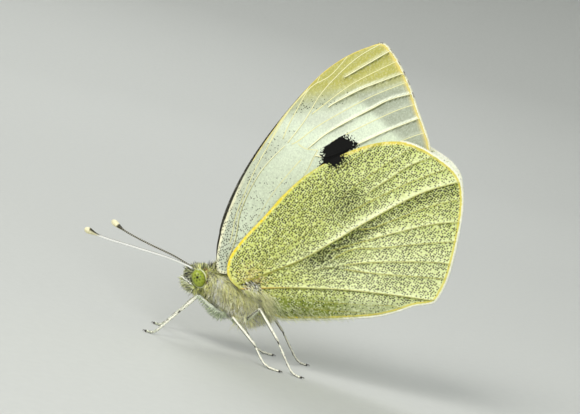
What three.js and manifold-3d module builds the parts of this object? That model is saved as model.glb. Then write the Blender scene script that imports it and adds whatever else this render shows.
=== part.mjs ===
// Large white butterfly, life size, standing with its wings closed over its back.
// Millimetres. The head looks along -Y, +X is the animal's left, +Z is up and the floor is z = 0.

import * as THREE from 'three';
import { mergeVertices } from 'three/addons/utils/BufferGeometryUtils.js';
import Module from 'manifold-3d';

const wasm = await Module();
wasm.setup();

// ---- Driving dimensions ----

const jointGap = 0.1; // between neighbouring pieces of the body and of a limb
const wingThickness = 0.5;
const forewingOffset = 0.4; // midplane to the middle of a forewing, where the wings lie together
const wingStep = 0.8; // middle of a forewing to the middle of the hindwing outside it
const costaSteps = 18;
const termenSteps = 10;
const innerSteps = 10;
const rootSteps = 2;
const wingRings = [0.3, 0.58, 0.82, 1]; // rings of points round the heart of a wing, as shares of the way out

const thoraxRoom = 1.5; // how far the thorax holds the wings apart
const abdomenRoom = 0.85; // the same beside the abdomen
const gutterCurl = 0.75; // how far the hindwings turn in under the abdomen

const bodySides = 18;
const limbSides = 8;
const tarsusRadius = 0.25;
const tarsusHeight = 0.22; // of the middle of a foot over the floor, a little under its radius
const clubRadius = 0.35;

// Sections of the whole body from brow to tail, out to the tips of the hair.
const bodySections = [
  { y: -12.45, z: 7.45, wide: 0.02, high: 0.02 },
  { y: -12.1, z: 7.4, wide: 0.6, high: 0.75 },
  { y: -11.3, z: 7.25, wide: 1.05, high: 1.4 },
  { y: -10.3, z: 7.05, wide: 1.3, high: 1.75 },
  { y: -9.4, z: 7.1, wide: 1.3, high: 1.8 },
  { y: -8.6, z: 7.1, wide: 1.75, high: 2.3 },
  { y: -7.4, z: 6.4, wide: 2.2, high: 2.95 },
  { y: -5.6, z: 6.2, wide: 2.4, high: 3.15 },
  { y: -3.8, z: 6.2, wide: 2.25, high: 2.95 },
  { y: -2.3, z: 6.5, wide: 1.85, high: 2.2 },
  { y: -1.3, z: 6.7, wide: 1.5, high: 1.65 },
  { y: 0.5, z: 7.05, wide: 1.45, high: 1.5 },
  { y: 3.5, z: 7.75, wide: 1.6, high: 1.6 },
  { y: 6.8, z: 8.75, wide: 1.45, high: 1.45 },
  { y: 9.6, z: 9.75, wide: 1.05, high: 1.1 },
  { y: 11.2, z: 10.35, wide: 0.55, high: 0.6 },
  { y: 11.7, z: 10.55, wide: 0.02, high: 0.02 },
];
const neck = -9.45; // where the head ends
const waist = -1.5; // where the thorax ends

const eyeCentre = [1.0, -10.2, 7.15];
const eyeRadii = [0.72, 0.7, 1.03];
const eyeLean = 20; // degrees, its top towards the brow

// Wing outlines seen from the side, as [y, z]. A costa runs from root to tip.
const forewingOutline = {
  heart: [0.5, 22],
  costa: [[-8.2, 8.5], [-8.8, 9.9], [-9.1, 13], [-8.9, 16.5], [-8, 21], [-5.9, 26.9],
    [-2.6, 33.3], [0.6, 36.6], [3, 37.95]],
  innerMargin: [[-4.6, 8.9], [1.5, 12.6], [7.5, 17.3], [12.1, 20.9]],
  termen: [[12.1, 20.9], [12.2, 24], [10.8, 28.6], [8.9, 31.4], [7.1, 34.1], [5.4, 36.1],
    [3.9, 37.5], [3, 37.95]],
};
const hindwingOutline = {
  heart: [4.5, 16.5],
  costa: [[-5.4, 7.5], [-6.5, 8], [-7.2, 9.1], [-7.3, 10.4], [-6.6, 12.6], [-5.2, 15.3],
    [-2.1, 20.9], [1.9, 25], [5.5, 27.3], [8.7, 28.1], [12, 27.4], [14.1, 26.5]],
  innerMargin: [[-2.9, 7.5], [-2.2, 6.2], [-0.9, 5.3], [2.2, 5.9], [7.5, 7.5], [11.1, 8.9],
    [14.2, 10.9], [15.9, 11.7]],
  termen: [[15.9, 11.7], [16.6, 13.6], [16.75, 16.8], [16.6, 19.7], [16.2, 22.9],
    [15.3, 25.4], [14.1, 26.5]],
};
const wingPivot = [-4.5, 7.5];

// The left legs, as [x, y, z] from the root in the thorax to the foot.
const legPlans = {
  fore: {
    thigh: [[0.7, -6.6, 4.8], [1.2, -7.1, 4.1], [2.0, -9.6, 5.4]],
    ankle: [2.6, -10.95, 3.4],
    foot: [[2.9, -12.2, 1.7], [3.1, -13, 0.6], [3.2, -13.6, tarsusHeight], [3.25, -14.2, tarsusHeight]],
  },
  mid: {
    thigh: [[0.9, -5.0, 4.6], [1.6, -4.9, 3.9], [2.8, -5.1, 4.2]],
    ankle: [3.6, -1.9, 2.1],
    foot: [[4.0, -0.6, 0.8], [4.2, 0.2, 0.35], [4.4, 1.0, tarsusHeight], [4.5, 1.7, tarsusHeight]],
  },
  hind: {
    thigh: [[1.0, -3.7, 5.0], [1.9, -3.6, 4.4], [3.1, -2.4, 6.0]],
    ankle: [3.7, 0.45, 3.3],
    foot: [[4.05, 2.05, 1.45], [4.2, 2.9, 0.55], [4.3, 3.6, tarsusHeight], [4.4, 4.2, tarsusHeight]],
  },
};
const rightStride = { fore: -0.4, mid: -2, hind: -0.4 }; // how far ahead each right foot stands

// The left feeler, from its root in the brow to the tip of its club.
const feeler = [[0.45, -11.0, 7.9], [0.75, -11.9, 8.2], [2.1, -14.3, 8.7], [3.9, -17.7, 9.1],
  [5.9, -20.9, 9.45], [7.1, -22.9, 9.85]];
const feelerRadii = [0.25, 0.25, 0.25, 0.25, 0.27, clubRadius, clubRadius, 0.24];

const palpPath = [[0.6, -10.0, 5.95], [0.66, -11.0, 5.75], [0.56, -12.1, 6.35]];
const palpRadii = [0.36, 0.42, 0.2];
const tongueCentre = [0, -10.8, 5.75];
const tongueRadius = 0.5;
const tongueWidth = 0.36;

// ---- Shapes ----

function smooth(value, from, to) {
  return THREE.MathUtils.smoothstep(value, from, to);
}

function vector([x, y, z]) {
  return new THREE.Vector3(x, y, z);
}

// Joins rings of equal length into one closed body, each end shut by a fan.
function closedFromRings(rings) {
  const sides = rings[0].length;
  const positions = rings.flat().flatMap((point) => [point.x, point.y, point.z]);
  const faces = [];
  for (let ring = 0; ring < rings.length - 1; ring++) {
    for (let side = 0; side < sides; side++) {
      const a = ring * sides + side;
      const b = ring * sides + (side + 1) % sides;
      faces.push(a, b, b + sides, a, b + sides, a + sides);
    }
  }
  for (const ring of [0, rings.length - 1]) {
    const middle = rings[ring].reduce((sum, point) => sum.add(point), new THREE.Vector3());
    middle.divideScalar(sides);
    const centre = positions.length / 3;
    positions.push(middle.x, middle.y, middle.z);
    for (let side = 0; side < sides; side++) {
      const a = ring * sides + side;
      const b = ring * sides + (side + 1) % sides;
      faces.push(...(ring === 0 ? [centre, b, a] : [centre, a, b]));
    }
  }
  const geometry = new THREE.BufferGeometry();
  geometry.setAttribute('position', new THREE.Float32BufferAttribute(positions, 3));
  geometry.setIndex(faces);
  return geometry;
}

// A limb: round sections of changing radius along a smooth curve.
function limb(points, radii, steps, extra = 0) {
  const curve = new THREE.CatmullRomCurve3(points.map(vector), false, 'centripetal');
  const sizes = new THREE.CatmullRomCurve3(radii.map((radius) => new THREE.Vector3(radius, 0, 0)));
  const frames = curve.computeFrenetFrames(steps);
  const rings = [];
  for (let step = 0; step <= steps; step++) {
    const centre = curve.getPointAt(step / steps);
    if (step === 0 || step === steps) {
      centre.addScaledVector(frames.tangents[step], step === 0 ? -extra : extra);
    }
    const radius = sizes.getPoint(step / steps).x + extra;
    const ring = [];
    for (let side = 0; side < limbSides; side++) {
      const angle = (side + 0.5) / limbSides * 2 * Math.PI;
      ring.push(centre.clone()
        .addScaledVector(frames.normals[step], radius * Math.cos(angle))
        .addScaledVector(frames.binormals[step], radius * Math.sin(angle)));
    }
    rings.push(ring);
  }
  return closedFromRings(rings);
}

// A stretch of the body between two places along its length.
function bodyLength(from, to, steps) {
  const centres = new THREE.CatmullRomCurve3(
    bodySections.map((section) => new THREE.Vector3(0, section.y, section.z)));
  const sizes = new THREE.CatmullRomCurve3(
    bodySections.map((section) => new THREE.Vector3(section.wide, section.high, 0)));
  const rings = [];
  for (let step = 0; step <= steps; step++) {
    const place = bodyPlace(centres, from + (to - from) * bodySpacing(step / steps));
    const centre = centres.getPoint(place);
    const size = sizes.getPoint(place);
    const ring = [];
    for (let side = 0; side < bodySides; side++) {
      const angle = side / bodySides * 2 * Math.PI;
      ring.push(new THREE.Vector3(size.x * Math.sin(angle), centre.y, centre.z + size.y * Math.cos(angle)));
    }
    rings.push(ring);
  }
  return closedFromRings(rings);
}

// Sections stand closer together towards both ends of a stretch.
function bodySpacing(fraction) {
  return (1 - Math.cos(Math.PI * fraction)) / 2;
}

// Finds the place on the body's centre curve that has a given y.
function bodyPlace(centres, y) {
  let low = 0;
  let high = 1;
  for (let pass = 0; pass < 30; pass++) {
    const middle = (low + high) / 2;
    if (centres.getPoint(middle).y < y) {
      low = middle;
    } else {
      high = middle;
    }
  }
  return (low + high) / 2;
}

// How far from the midplane the middle of a wing lies; layer 0 is a forewing, 1 a hindwing.
function wingDistance(y, z, layer) {
  const overBody = z - 6.6 - 0.3 * Math.max(0, y + 1.5);
  const held = (1 - smooth(overBody, 1.5, 9)) * (1 - smooth(y, 8, 14.5));
  const room = THREE.MathUtils.lerp(thoraxRoom, abdomenRoom, smooth(y, -4.5, -1));
  const curl = gutterCurl * smooth(-overBody, 0.6, 2) * smooth(y, -2, 1);
  return forewingOffset + layer * wingStep + held * room - curl;
}

function edgePoints(points, steps) {
  const curve = new THREE.CatmullRomCurve3(
    points.map(([y, z]) => new THREE.Vector3(0, y, z)), false, 'centripetal');
  return curve.getSpacedPoints(steps);
}

// The whole edge of a wing, from root to tip along the costa and back along the other sides.
function wingEdge(outline) {
  const costa = edgePoints(outline.costa, costaSteps);
  const termen = edgePoints(outline.termen, termenSteps).reverse();
  const inner = edgePoints(outline.innerMargin, innerSteps).reverse();
  const root = [];
  for (let step = 0; step < rootSteps; step++) {
    root.push(inner[innerSteps].clone().lerp(costa[0], step / rootSteps));
  }
  return [...costa.slice(0, -1), ...termen.slice(0, -1), ...inner.slice(0, -1), ...root];
}

// A wing: rings of points from its heart to its edge on both faces, joined round the rim.
function wing(outline, layer, side, { turn = 0, shift = 0 } = {}, extra = 0) {
  const edge = wingEdge(outline);
  const heart = new THREE.Vector3(0, ...outline.heart);
  const angle = THREE.MathUtils.degToRad(turn);
  const positions = [];
  const addPoint = (flat) => {
    const distance = wingDistance(flat.y, flat.z, layer);
    const dy = flat.y - wingPivot[0];
    const dz = flat.z - wingPivot[1];
    const y = wingPivot[0] + dy * Math.cos(angle) - dz * Math.sin(angle) + shift;
    const z = wingPivot[1] + dy * Math.sin(angle) + dz * Math.cos(angle);
    for (const face of [1, -1]) {
      positions.push(side * (distance + face * (wingThickness / 2 + extra)), y, z);
    }
  };
  addPoint(heart);
  for (const ring of wingRings) {
    edge.forEach((point) => addPoint(heart.clone().lerp(point, ring)));
  }
  const faces = [];
  const addFace = (a, b, c) => faces.push(...(side > 0 ? [a, c, b] : [a, b, c]));
  const addQuad = (a, b, c, d) => {
    addFace(a, b, c);
    addFace(a, c, d);
  };
  const place = (ring, step) => 2 * (1 + ring * edge.length + step % edge.length);
  for (let step = 0; step < edge.length; step++) {
    addFace(0, place(0, step), place(0, step + 1));
    addFace(1, place(0, step + 1) + 1, place(0, step) + 1);
    for (let ring = 0; ring < wingRings.length - 1; ring++) {
      const [a, b, c, d] = [place(ring, step), place(ring, step + 1),
        place(ring + 1, step + 1), place(ring + 1, step)];
      addQuad(a, d, c, b);
      addQuad(a + 1, b + 1, c + 1, d + 1);
    }
    const rim = place(wingRings.length - 1, step);
    const next = place(wingRings.length - 1, step + 1);
    addQuad(rim, rim + 1, next + 1, next);
  }
  const geometry = new THREE.BufferGeometry();
  geometry.setAttribute('position', new THREE.Float32BufferAttribute(positions, 3));
  geometry.setIndex(faces);
  return geometry;
}

function eye(side, extra = 0) {
  const geometry = new THREE.SphereGeometry(1, 12, 9);
  geometry.scale(eyeRadii[0] + extra, eyeRadii[1] + extra, eyeRadii[2] + extra);
  geometry.rotateX(THREE.MathUtils.degToRad(eyeLean));
  return geometry.translate(side * eyeCentre[0], eyeCentre[1], eyeCentre[2]);
}

function tongue(extra = 0) {
  const radius = tongueRadius + extra;
  const half = tongueWidth / 2 + extra;
  const profile = [[0, -half], [radius * 0.8, -half], [radius, 0], [radius * 0.8, half], [0, half]];
  const geometry = new THREE.LatheGeometry(profile.map(([r, x]) => new THREE.Vector2(r, x)), 10);
  geometry.rotateZ(Math.PI / 2);
  return geometry.translate(...tongueCentre);
}

// ---- Cutting one piece clear of the next ----

function toSolid(geometry) {
  const bare = geometry.clone();
  bare.deleteAttribute('normal');
  bare.deleteAttribute('uv');
  const merged = mergeVertices(bare, 1e-5);
  return new wasm.Manifold(new wasm.Mesh({
    numProp: 3,
    vertProperties: merged.getAttribute('position').array,
    triVerts: Uint32Array.from(merged.getIndex().array),
  }));
}

function toGeometry(solid) {
  const mesh = solid.getMesh();
  const geometry = new THREE.BufferGeometry();
  geometry.setAttribute('position', new THREE.Float32BufferAttribute(mesh.vertProperties, 3));
  geometry.setIndex(Array.from(mesh.triVerts));
  return geometry;
}

// Cuts sockets for its neighbours into a piece and keeps the largest body that is left.
function carve(geometry, neighbours) {
  let solid = toSolid(geometry);
  for (const neighbour of neighbours) {
    solid = solid.subtract(toSolid(neighbour));
  }
  const pieces = solid.decompose();
  pieces.sort((a, b) => b.volume() - a.volume());
  return toGeometry(pieces[0]);
}

// Presses whatever reaches below the floor flat against it.
function standOnFloor(geometry) {
  const position = geometry.getAttribute('position');
  for (let i = 0; i < position.count; i++) {
    position.setZ(i, Math.max(0, position.getZ(i)));
  }
  return geometry;
}

// ---- Pieces ----

const materials = {
  coat: { color: 0xb9b48c, roughness: 0.9 },
  eye: { color: 0x97a43e, roughness: 0.25 },
  feeler: { color: 0xd9d6c4, roughness: 0.7 },
  leg: { color: 0xdcdacb, roughness: 0.7 },
  forewing: { color: 0xe4eedd, roughness: 0.85 },
  hindwing: { color: 0xc3c98a, roughness: 0.85 },
  tongue: { color: 0x4a3622, roughness: 0.5 },
};

const group = new THREE.Group();

function addPiece(name, geometry, material) {
  const { color, roughness } = materials[material];
  const look = new THREE.MeshStandardMaterial({ color, roughness, metalness: 0 });
  const mesh = new THREE.Mesh(geometry, look);
  mesh.name = name;
  group.add(mesh);
}

function mirrored(points, side, stride = 0) {
  const last = points.length - 1;
  return points.map(([x, y, z], i) => [side * x, y + stride * (last ? i / last : 1), z]);
}

// Steps a limb's first or last point back so that the next piece starts beyond a gap.
function shortened(points, atStart, atEnd) {
  const path = points.map(vector);
  const last = path.length - 1;
  const start = path[1].clone().sub(path[0]).setLength(atStart);
  const end = path[last - 1].clone().sub(path[last]).setLength(atEnd);
  path[0].add(start);
  path[last].add(end);
  return path.map((point) => point.toArray());
}

const sides = { left: 1, right: -1 };
const wingPoses = {
  left: { fore: {}, hind: {} },
  right: { fore: { turn: -1.2, shift: -0.5 }, hind: { turn: 2, shift: 0.35 } },
};
const thoraxNeighbours = [];
const abdomenNeighbours = [];
const headNeighbours = [tongue(jointGap)];

for (const [sideName, side] of Object.entries(sides)) {
  const poses = wingPoses[sideName];
  addPiece(`forewing_${sideName}`, wing(forewingOutline, 0, side, poses.fore), 'forewing');
  addPiece(`hindwing_${sideName}`, wing(hindwingOutline, 1, side, poses.hind), 'hindwing');
  thoraxNeighbours.push(wing(forewingOutline, 0, side, poses.fore, jointGap));
  thoraxNeighbours.push(wing(hindwingOutline, 1, side, poses.hind, jointGap));
  abdomenNeighbours.push(wing(hindwingOutline, 1, side, poses.hind, jointGap));

  addPiece(`eye_${sideName}`, eye(side), 'eye');
  headNeighbours.push(eye(side, jointGap / 2));
  addPiece(`antenna_${sideName}`, limb(mirrored(feeler, side), feelerRadii, 15), 'feeler');
  headNeighbours.push(limb(mirrored(feeler, side), feelerRadii, 15, jointGap));
  addPiece(`palp_${sideName}`, limb(mirrored(palpPath, side), palpRadii, 6), 'coat');
  headNeighbours.push(limb(mirrored(palpPath, side), palpRadii, 6, jointGap));

  for (const [legName, plan] of Object.entries(legPlans)) {
    const stride = side < 0 ? rightStride[legName] : 0;
    const thigh = mirrored(plan.thigh, side, stride);
    const knee = thigh[thigh.length - 1];
    const [ankle] = mirrored([plan.ankle], side, stride);
    const foot = plan.foot.map(([x, y, z]) => [side * x, y + stride, z]);
    const name = `${legName}_leg_${sideName}`;
    const thighPath = shortened(thigh, 0, jointGap / 2);
    addPiece(`${name}_femur`, limb(thighPath, [0.3, 0.34, 0.26], 6), 'leg');
    thoraxNeighbours.push(limb(thighPath, [0.3, 0.34, 0.26], 6, jointGap));
    const shin = shortened([knee, ankle], 0.3, jointGap / 2);
    addPiece(`${name}_tibia`, limb(shin, [0.25, 0.26, 0.25], 4), 'leg');
    const tarsus = shortened([ankle, ...foot], jointGap / 2, 0);
    addPiece(`${name}_tarsus`, standOnFloor(limb(tarsus, [tarsusRadius, tarsusRadius], 8)), 'leg');
  }
}

addPiece('proboscis', tongue(), 'tongue');
addPiece('head', carve(bodyLength(bodySections[0].y, neck - jointGap / 2, 9), headNeighbours), 'coat');
addPiece('thorax', carve(bodyLength(neck + jointGap / 2, waist - jointGap / 2, 14), thoraxNeighbours), 'coat');
addPiece('abdomen', carve(bodyLength(waist + jointGap / 2, bodySections.at(-1).y, 14), abdomenNeighbours),
  'coat');

// The origin is on the floor, under the middle of the model's box.
const box = new THREE.Box3().setFromObject(group);
const middle = box.getCenter(new THREE.Vector3());
group.position.set(-middle.x, -middle.y, -box.min.z);
group.updateMatrixWorld(true);

export default group;
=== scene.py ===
# %% [markdown]
# # A large white butterfly at rest
# The real animal is about 38 mm high with its wings shut over its back. The
# plain solids that come with it give every length and place, so the lesson
# only dresses them: thin wings, a furry body, faceted eyes, ringed feelers.
# %% Load the solids
import math
import bmesh
import bpy
import numpy as np
from mathutils import Matrix, Vector
from mathutils.bvhtree import BVHTree
from mathutils.kdtree import KDTree


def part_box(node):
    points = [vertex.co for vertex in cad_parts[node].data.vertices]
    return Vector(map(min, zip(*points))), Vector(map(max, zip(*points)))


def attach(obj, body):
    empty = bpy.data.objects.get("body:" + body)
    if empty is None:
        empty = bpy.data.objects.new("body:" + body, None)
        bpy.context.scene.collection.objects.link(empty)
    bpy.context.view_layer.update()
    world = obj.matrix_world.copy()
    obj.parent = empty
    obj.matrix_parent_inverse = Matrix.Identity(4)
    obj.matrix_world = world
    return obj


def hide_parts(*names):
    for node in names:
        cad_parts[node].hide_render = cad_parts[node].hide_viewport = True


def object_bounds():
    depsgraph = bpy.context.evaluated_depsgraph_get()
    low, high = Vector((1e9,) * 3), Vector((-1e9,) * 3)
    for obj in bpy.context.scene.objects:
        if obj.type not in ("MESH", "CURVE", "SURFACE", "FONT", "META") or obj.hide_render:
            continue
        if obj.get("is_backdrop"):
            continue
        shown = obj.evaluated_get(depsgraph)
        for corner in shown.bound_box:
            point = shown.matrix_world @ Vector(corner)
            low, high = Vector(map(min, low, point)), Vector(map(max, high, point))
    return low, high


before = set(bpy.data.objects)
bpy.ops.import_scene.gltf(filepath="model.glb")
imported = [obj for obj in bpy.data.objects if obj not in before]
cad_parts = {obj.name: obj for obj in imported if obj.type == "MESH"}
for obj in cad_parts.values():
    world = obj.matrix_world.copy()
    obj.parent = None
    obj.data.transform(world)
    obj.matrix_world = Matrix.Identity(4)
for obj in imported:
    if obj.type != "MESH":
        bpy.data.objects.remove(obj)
cad_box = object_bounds()
MM = 0.001
EYE = np.array((1.0, -10.2, 7.15))  # middle of the left eye on the drawing, in mm
SIDES = ((1, "left"), (-1, "right"))
eye_low, eye_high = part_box("eye_left")
DRAWING_ORIGIN = (eye_low + eye_high) / 2 - Vector(EYE) * MM
print("solids:", len(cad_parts), "origin of the drawing", tuple(DRAWING_ORIGIN))


def at(x, y, z):
    """A place in the drawing's millimetres, in metres."""
    return Vector((x, y, z)) * MM + DRAWING_ORIGIN


# %% [markdown]
# ## The camera
# A long lens close by gives the calm side view of a museum plate. The animal
# stands level on its feet, so the camera is rolled by fifteen degrees instead.
# %% Camera
def aim_camera(target, distance, yaw, rise, roll, lens):
    yaw, rise, roll = (math.radians(angle) for angle in (yaw, rise, roll))
    back = Vector((math.cos(rise) * math.cos(yaw), math.cos(rise) * math.sin(yaw), math.sin(rise)))
    level = Vector((-math.sin(yaw), math.cos(yaw), 0))
    above = back.cross(level)
    right = level * math.cos(roll) + above * math.sin(roll)
    up = above * math.cos(roll) - level * math.sin(roll)
    camera = bpy.data.objects.new("camera", bpy.data.cameras.new("camera"))
    camera.data.lens = lens
    camera.data.sensor_width = 36
    camera.data.clip_start = 0.01
    turn = Matrix((right, up, back)).transposed().to_4x4()
    camera.matrix_world = Matrix.Translation(target + back * distance) @ turn
    bpy.context.scene.collection.objects.link(camera)
    bpy.context.scene.camera = camera
    return camera


camera = aim_camera(at(0, -2.4, 17.6), 0.181, yaw=6, rise=4.5, roll=15, lens=100)
print("camera stands", round(camera.matrix_world.translation.z / MM), "mm above the floor")


# %% [markdown]
# ## Finishes
# Every material is a small node tree around one shader. A helper class keeps
# tree and shader together, so that each node takes one short call.
# %% Finishes
def paint(red, green, blue):
    """A colour from 0-255 values to the linear ones that shaders use."""
    values = np.array((red, green, blue)) / 255
    linear = np.where(values <= 0.04045, values / 12.92, ((values + 0.055) / 1.055) ** 2.4)
    return (*linear.tolist(), 1.0)


class Finish:
    """A material while it is made. Levels are set on the shader's own sockets."""

    def __init__(self, name, roughness, **levels):
        self.material = bpy.data.materials.new(name)
        self.material.use_nodes = True
        self.tree = self.material.node_tree
        self.shader = self.tree.nodes["Principled BSDF"]
        self.shader.inputs["Roughness"].default_value = roughness
        for level, value in levels.items():
            self.shader.inputs[level.replace("_", " ")].default_value = value
        self.coords = self.add("TexCoord").outputs["Object"]

    def add(self, kind, inputs=(), **settings):
        """A node with its settings, its inputs set to numbers or joined to sockets."""
        node = self.tree.nodes.new("ShaderNode" + kind)
        for name, value in settings.items():
            setattr(node, name, value)
        for name, value in dict(inputs).items():
            if isinstance(value, bpy.types.NodeSocket):
                self.tree.links.new(value, node.inputs[name])
            else:
                node.inputs[name].default_value = value
        return node

    def noise(self, scale, detail=2.0):
        return self.add("TexNoise", {"Vector": self.coords, "Scale": scale, "Detail": detail}).outputs["Fac"]

    def cells(self, scale, randomness=1.0):
        sockets = {"Vector": self.coords, "Scale": scale, "Randomness": randomness}
        return self.add("TexVoronoi", sockets).outputs

    def parts(self, colour):
        """Three numbers from a colour; from a cell's colour they are its luck."""
        return self.add("SeparateColor", {0: colour}).outputs

    def noted(self, name, field="Fac"):
        return self.add("Attribute", attribute_name=name).outputs[field]

    def grey(self, tone):
        return self.add("CombineColor", {0: tone, 1: tone, 2: tone}).outputs[0]

    def mix(self, factor, first, second, kind="MIX"):
        """Lays the second colour over the first. Plain 0-255 ones are painted."""
        first, second = (paint(*tone) if isinstance(tone, tuple) else tone for tone in (first, second))
        inputs = {0: factor, 6: first, 7: second}
        return self.add("Mix", inputs, data_type="RGBA", blend_type=kind).outputs[2]

    def calc(self, operation, first, second=0.0, third=0.0):
        return self.add("Math", {0: first, 1: second, 2: third}, operation=operation).outputs[0]

    def done(self, base, height=None, strength=0.0, distance=0.0):
        """Joins the colour and the relief to the shader. Distance is in millimetres."""
        self.tree.links.new(base, self.shader.inputs["Base Color"])
        if height is not None:
            bump = self.add("Bump", {"Height": height, "Strength": strength, "Distance": distance * MM})
            self.tree.links.new(bump.outputs[0], self.shader.inputs["Normal"])
        return self.material


paper = Finish("studio paper", 0.9)
floor_material = paper.done(paper.mix(paper.noise(900.0, 3.0), (190, 192, 188), (196, 198, 194)))
print("first finish:", floor_material.name)


# %% [markdown]
# ## Studio
# A small thing wants a small studio. One spun bowl is floor and backdrop in
# one, so no horizon cuts the picture, and big soft lamps wrap round the wings.
# %% Floor, backdrop and lamps
def link(name, mesh):
    piece = bpy.data.objects.new(name, mesh)
    bpy.context.scene.collection.objects.link(piece)
    return piece


def smooth(mesh):
    mesh.polygons.foreach_set("use_smooth", [True] * len(mesh.polygons))
    return mesh


def made(work, name):
    """Ends a bmesh and gives its smoothly shaded mesh."""
    mesh = bpy.data.meshes.new(name)
    work.to_mesh(mesh)
    work.free()
    return smooth(mesh)


BOWL_PROFILE = [(0, 0), (0.22, 0), (0.36, 0.012), (0.5, 0.05), (0.62, 0.13), (0.71, 0.27), (0.76, 0.46), (0.78, 1.2)]
bowl = bmesh.new()
corners = [bowl.verts.new((radius, 0, height)) for radius, height in BOWL_PROFILE]
for first, second in zip(corners, corners[1:]):
    bowl.edges.new((first, second))
bmesh.ops.spin(bowl, geom=bowl.verts[:] + bowl.edges[:], axis=(0, 0, 1), angle=math.tau,
               steps=96, use_merge=True)
bmesh.ops.remove_doubles(bowl, verts=bowl.verts, dist=1e-6)
bmesh.ops.recalc_face_normals(bowl, faces=bowl.faces)
bowl_mesh = made(bowl, "studio_bowl")
bowl_mesh.materials.append(floor_material)
studio_bowl = link("studio_bowl", bowl_mesh)
studio_bowl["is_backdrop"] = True


def soft_lamp(name, place, size, power, colour=(1, 1, 1)):
    lamp = link(name, bpy.data.lights.new(name, "AREA"))
    lamp.data.size = size
    lamp.data.energy = power
    lamp.data.color = colour
    lamp.location = place
    lamp.rotation_euler = (at(0, -1, 17) - Vector(place)).to_track_quat("-Z", "Y").to_euler()


soft_lamp("key lamp", (0.33, -0.21, 0.38), 0.28, 1.9, (1, 0.985, 0.95))
soft_lamp("fill lamp", (0.34, 0.15, 0.23), 0.19, 0.75, (0.97, 0.99, 1))
soft_lamp("rim lamp", (-0.34, -0.12, 0.36), 0.25, 1.0)
world = bpy.data.worlds.new("studio air")
bpy.context.scene.world = world
world.use_nodes = True
air = world.node_tree.nodes["Background"].inputs
air["Color"].default_value = (0.95, 0.98, 1, 1)
air["Strength"].default_value = 0.5
bpy.context.scene.view_settings.view_transform = "Standard"
print("studio bowl", len(bowl_mesh.polygons), "faces")


# %% [markdown]
# ## Paths
# Legs, feelers and veins are all tubes along a curve that changes thickness.
# A spline through a few places gives the curve, and Blender's own curve object
# with a round bevel turns it into a mesh, which keeps the rings in order.
# %% Splines and tubes
def smooth_path(points, pieces=8):
    """A rounded path through rows of numbers, each span cut into equal pieces."""
    rows = np.array(points, float)
    rows = np.vstack((2 * rows[0] - rows[1], rows, 2 * rows[-1] - rows[-2]))
    steps = np.arange(pieces)[:, None] / pieces
    spans = []
    for before, start, end, after in zip(rows, rows[1:], rows[2:], rows[3:]):
        spans.append(0.5 * (2 * start + (end - before) * steps
                            + (2 * before - 5 * start + 4 * end - after) * steps ** 2
                            + (3 * start - before - 3 * end + after) * steps ** 3))
    return np.vstack((*spans, rows[-2:-1]))


def travelled(path):
    """How far along the path each of its points lies."""
    return np.append(0, np.linalg.norm(np.diff(path, axis=0), axis=1).cumsum())


def tubes(name, runs, roundness=2):
    """One mesh of tubes. Each run has rows of x, y, z and radius, in metres."""
    curve = bpy.data.curves.new(name, "CURVE")
    curve.dimensions = "3D"
    curve.bevel_depth = 1.0
    curve.bevel_resolution = roundness
    curve.use_fill_caps = True
    for rows in runs:
        spline = curve.splines.new("POLY")
        spline.points.add(len(rows) - 1)
        spline.points.foreach_set("co", np.hstack((rows[:, :3], np.ones((len(rows), 1)))).ravel())
        spline.points.foreach_set("radius", rows[:, 3].copy())
    holder = link(name, curve)
    graph = bpy.context.evaluated_depsgraph_get()
    mesh = bpy.data.meshes.new_from_object(holder.evaluated_get(graph))
    bpy.data.objects.remove(holder)
    bpy.data.curves.remove(curve)
    welded = bmesh.new()
    welded.from_mesh(mesh)
    bmesh.ops.remove_doubles(welded, verts=welded.verts, dist=1e-8)
    bmesh.ops.recalc_face_normals(welded, faces=welded.faces)
    welded.to_mesh(mesh)
    welded.free()
    mesh.name = name
    along = np.concatenate([travelled(rows[:, :3]) for rows in runs]) / MM
    finder = KDTree(len(along))
    for index, place in enumerate(np.vstack([rows[:, :3] for rows in runs])):
        finder.insert(place, index)
    finder.balance()
    note(mesh, along=[along[finder.find(vert.co)[1]] for vert in mesh.vertices])
    return smooth(mesh)


def note(mesh, **fields):
    """Keeps a number, or a colour, for each point of a mesh, under the field's name."""
    for name, values in fields.items():
        values = np.asarray(values, float)
        kind, field = ("FLOAT_COLOR", "color") if values.ndim == 2 else ("FLOAT", "value")
        mesh.attributes.new(name, kind, "POINT").data.foreach_set(field, values.ravel())


def read(items, field, width=1, kind=float):
    """One field of all points, corners or faces of a mesh, as rows of numbers."""
    values = np.empty(len(items) * width, kind)
    items.foreach_get(field, values)
    return values.reshape(-1, width) if width > 1 else values


def corners_of(mesh):
    return read(mesh.vertices, "co", 3)


def finish_piece(mesh, material, slot, *nodes):
    """Puts a finished mesh in the scene, in place of the solids it stands for."""
    mesh.materials.clear()
    mesh.materials.append(material)
    piece = link(mesh.name, mesh)
    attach(piece, "root")
    if nodes:
        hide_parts(*nodes)
    mesh.calc_loop_triangles()
    print(piece.name, len(mesh.loop_triangles), "triangles")


bend = smooth_path([(0, 0), (1, 0), (1, 1)])
print("a bend through 3 places has", len(bend), "points and is", round(travelled(bend)[-1], 2), "long")


# %% [markdown]
# Markings fade into one another, so a few curves from 0 to 1 are needed again
# and again: a soft step, its opposite, and a bump along one or two axes.
# %% Soft steps
def ramp(values, start, end):
    """0 before start, 1 past end, and an even S between."""
    share = np.clip((values - start) / (end - start), 0, 1)
    return share * share * (3 - 2 * share)


def fade(values, start, end):
    return 1 - ramp(values, start, end)


def bell(values, width):
    return np.exp(-(values / width) ** 2)


def patch(y, z, middle, wide, high):
    return np.exp(-(((y - middle[0]) / wide) ** 2 + ((z - middle[1]) / high) ** 2))


def rows_at(places, stations, rows):
    """Whole rows of a table, looked up between its stations."""
    return np.column_stack([np.interp(places, stations, column) for column in np.array(rows, float).T])


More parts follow.
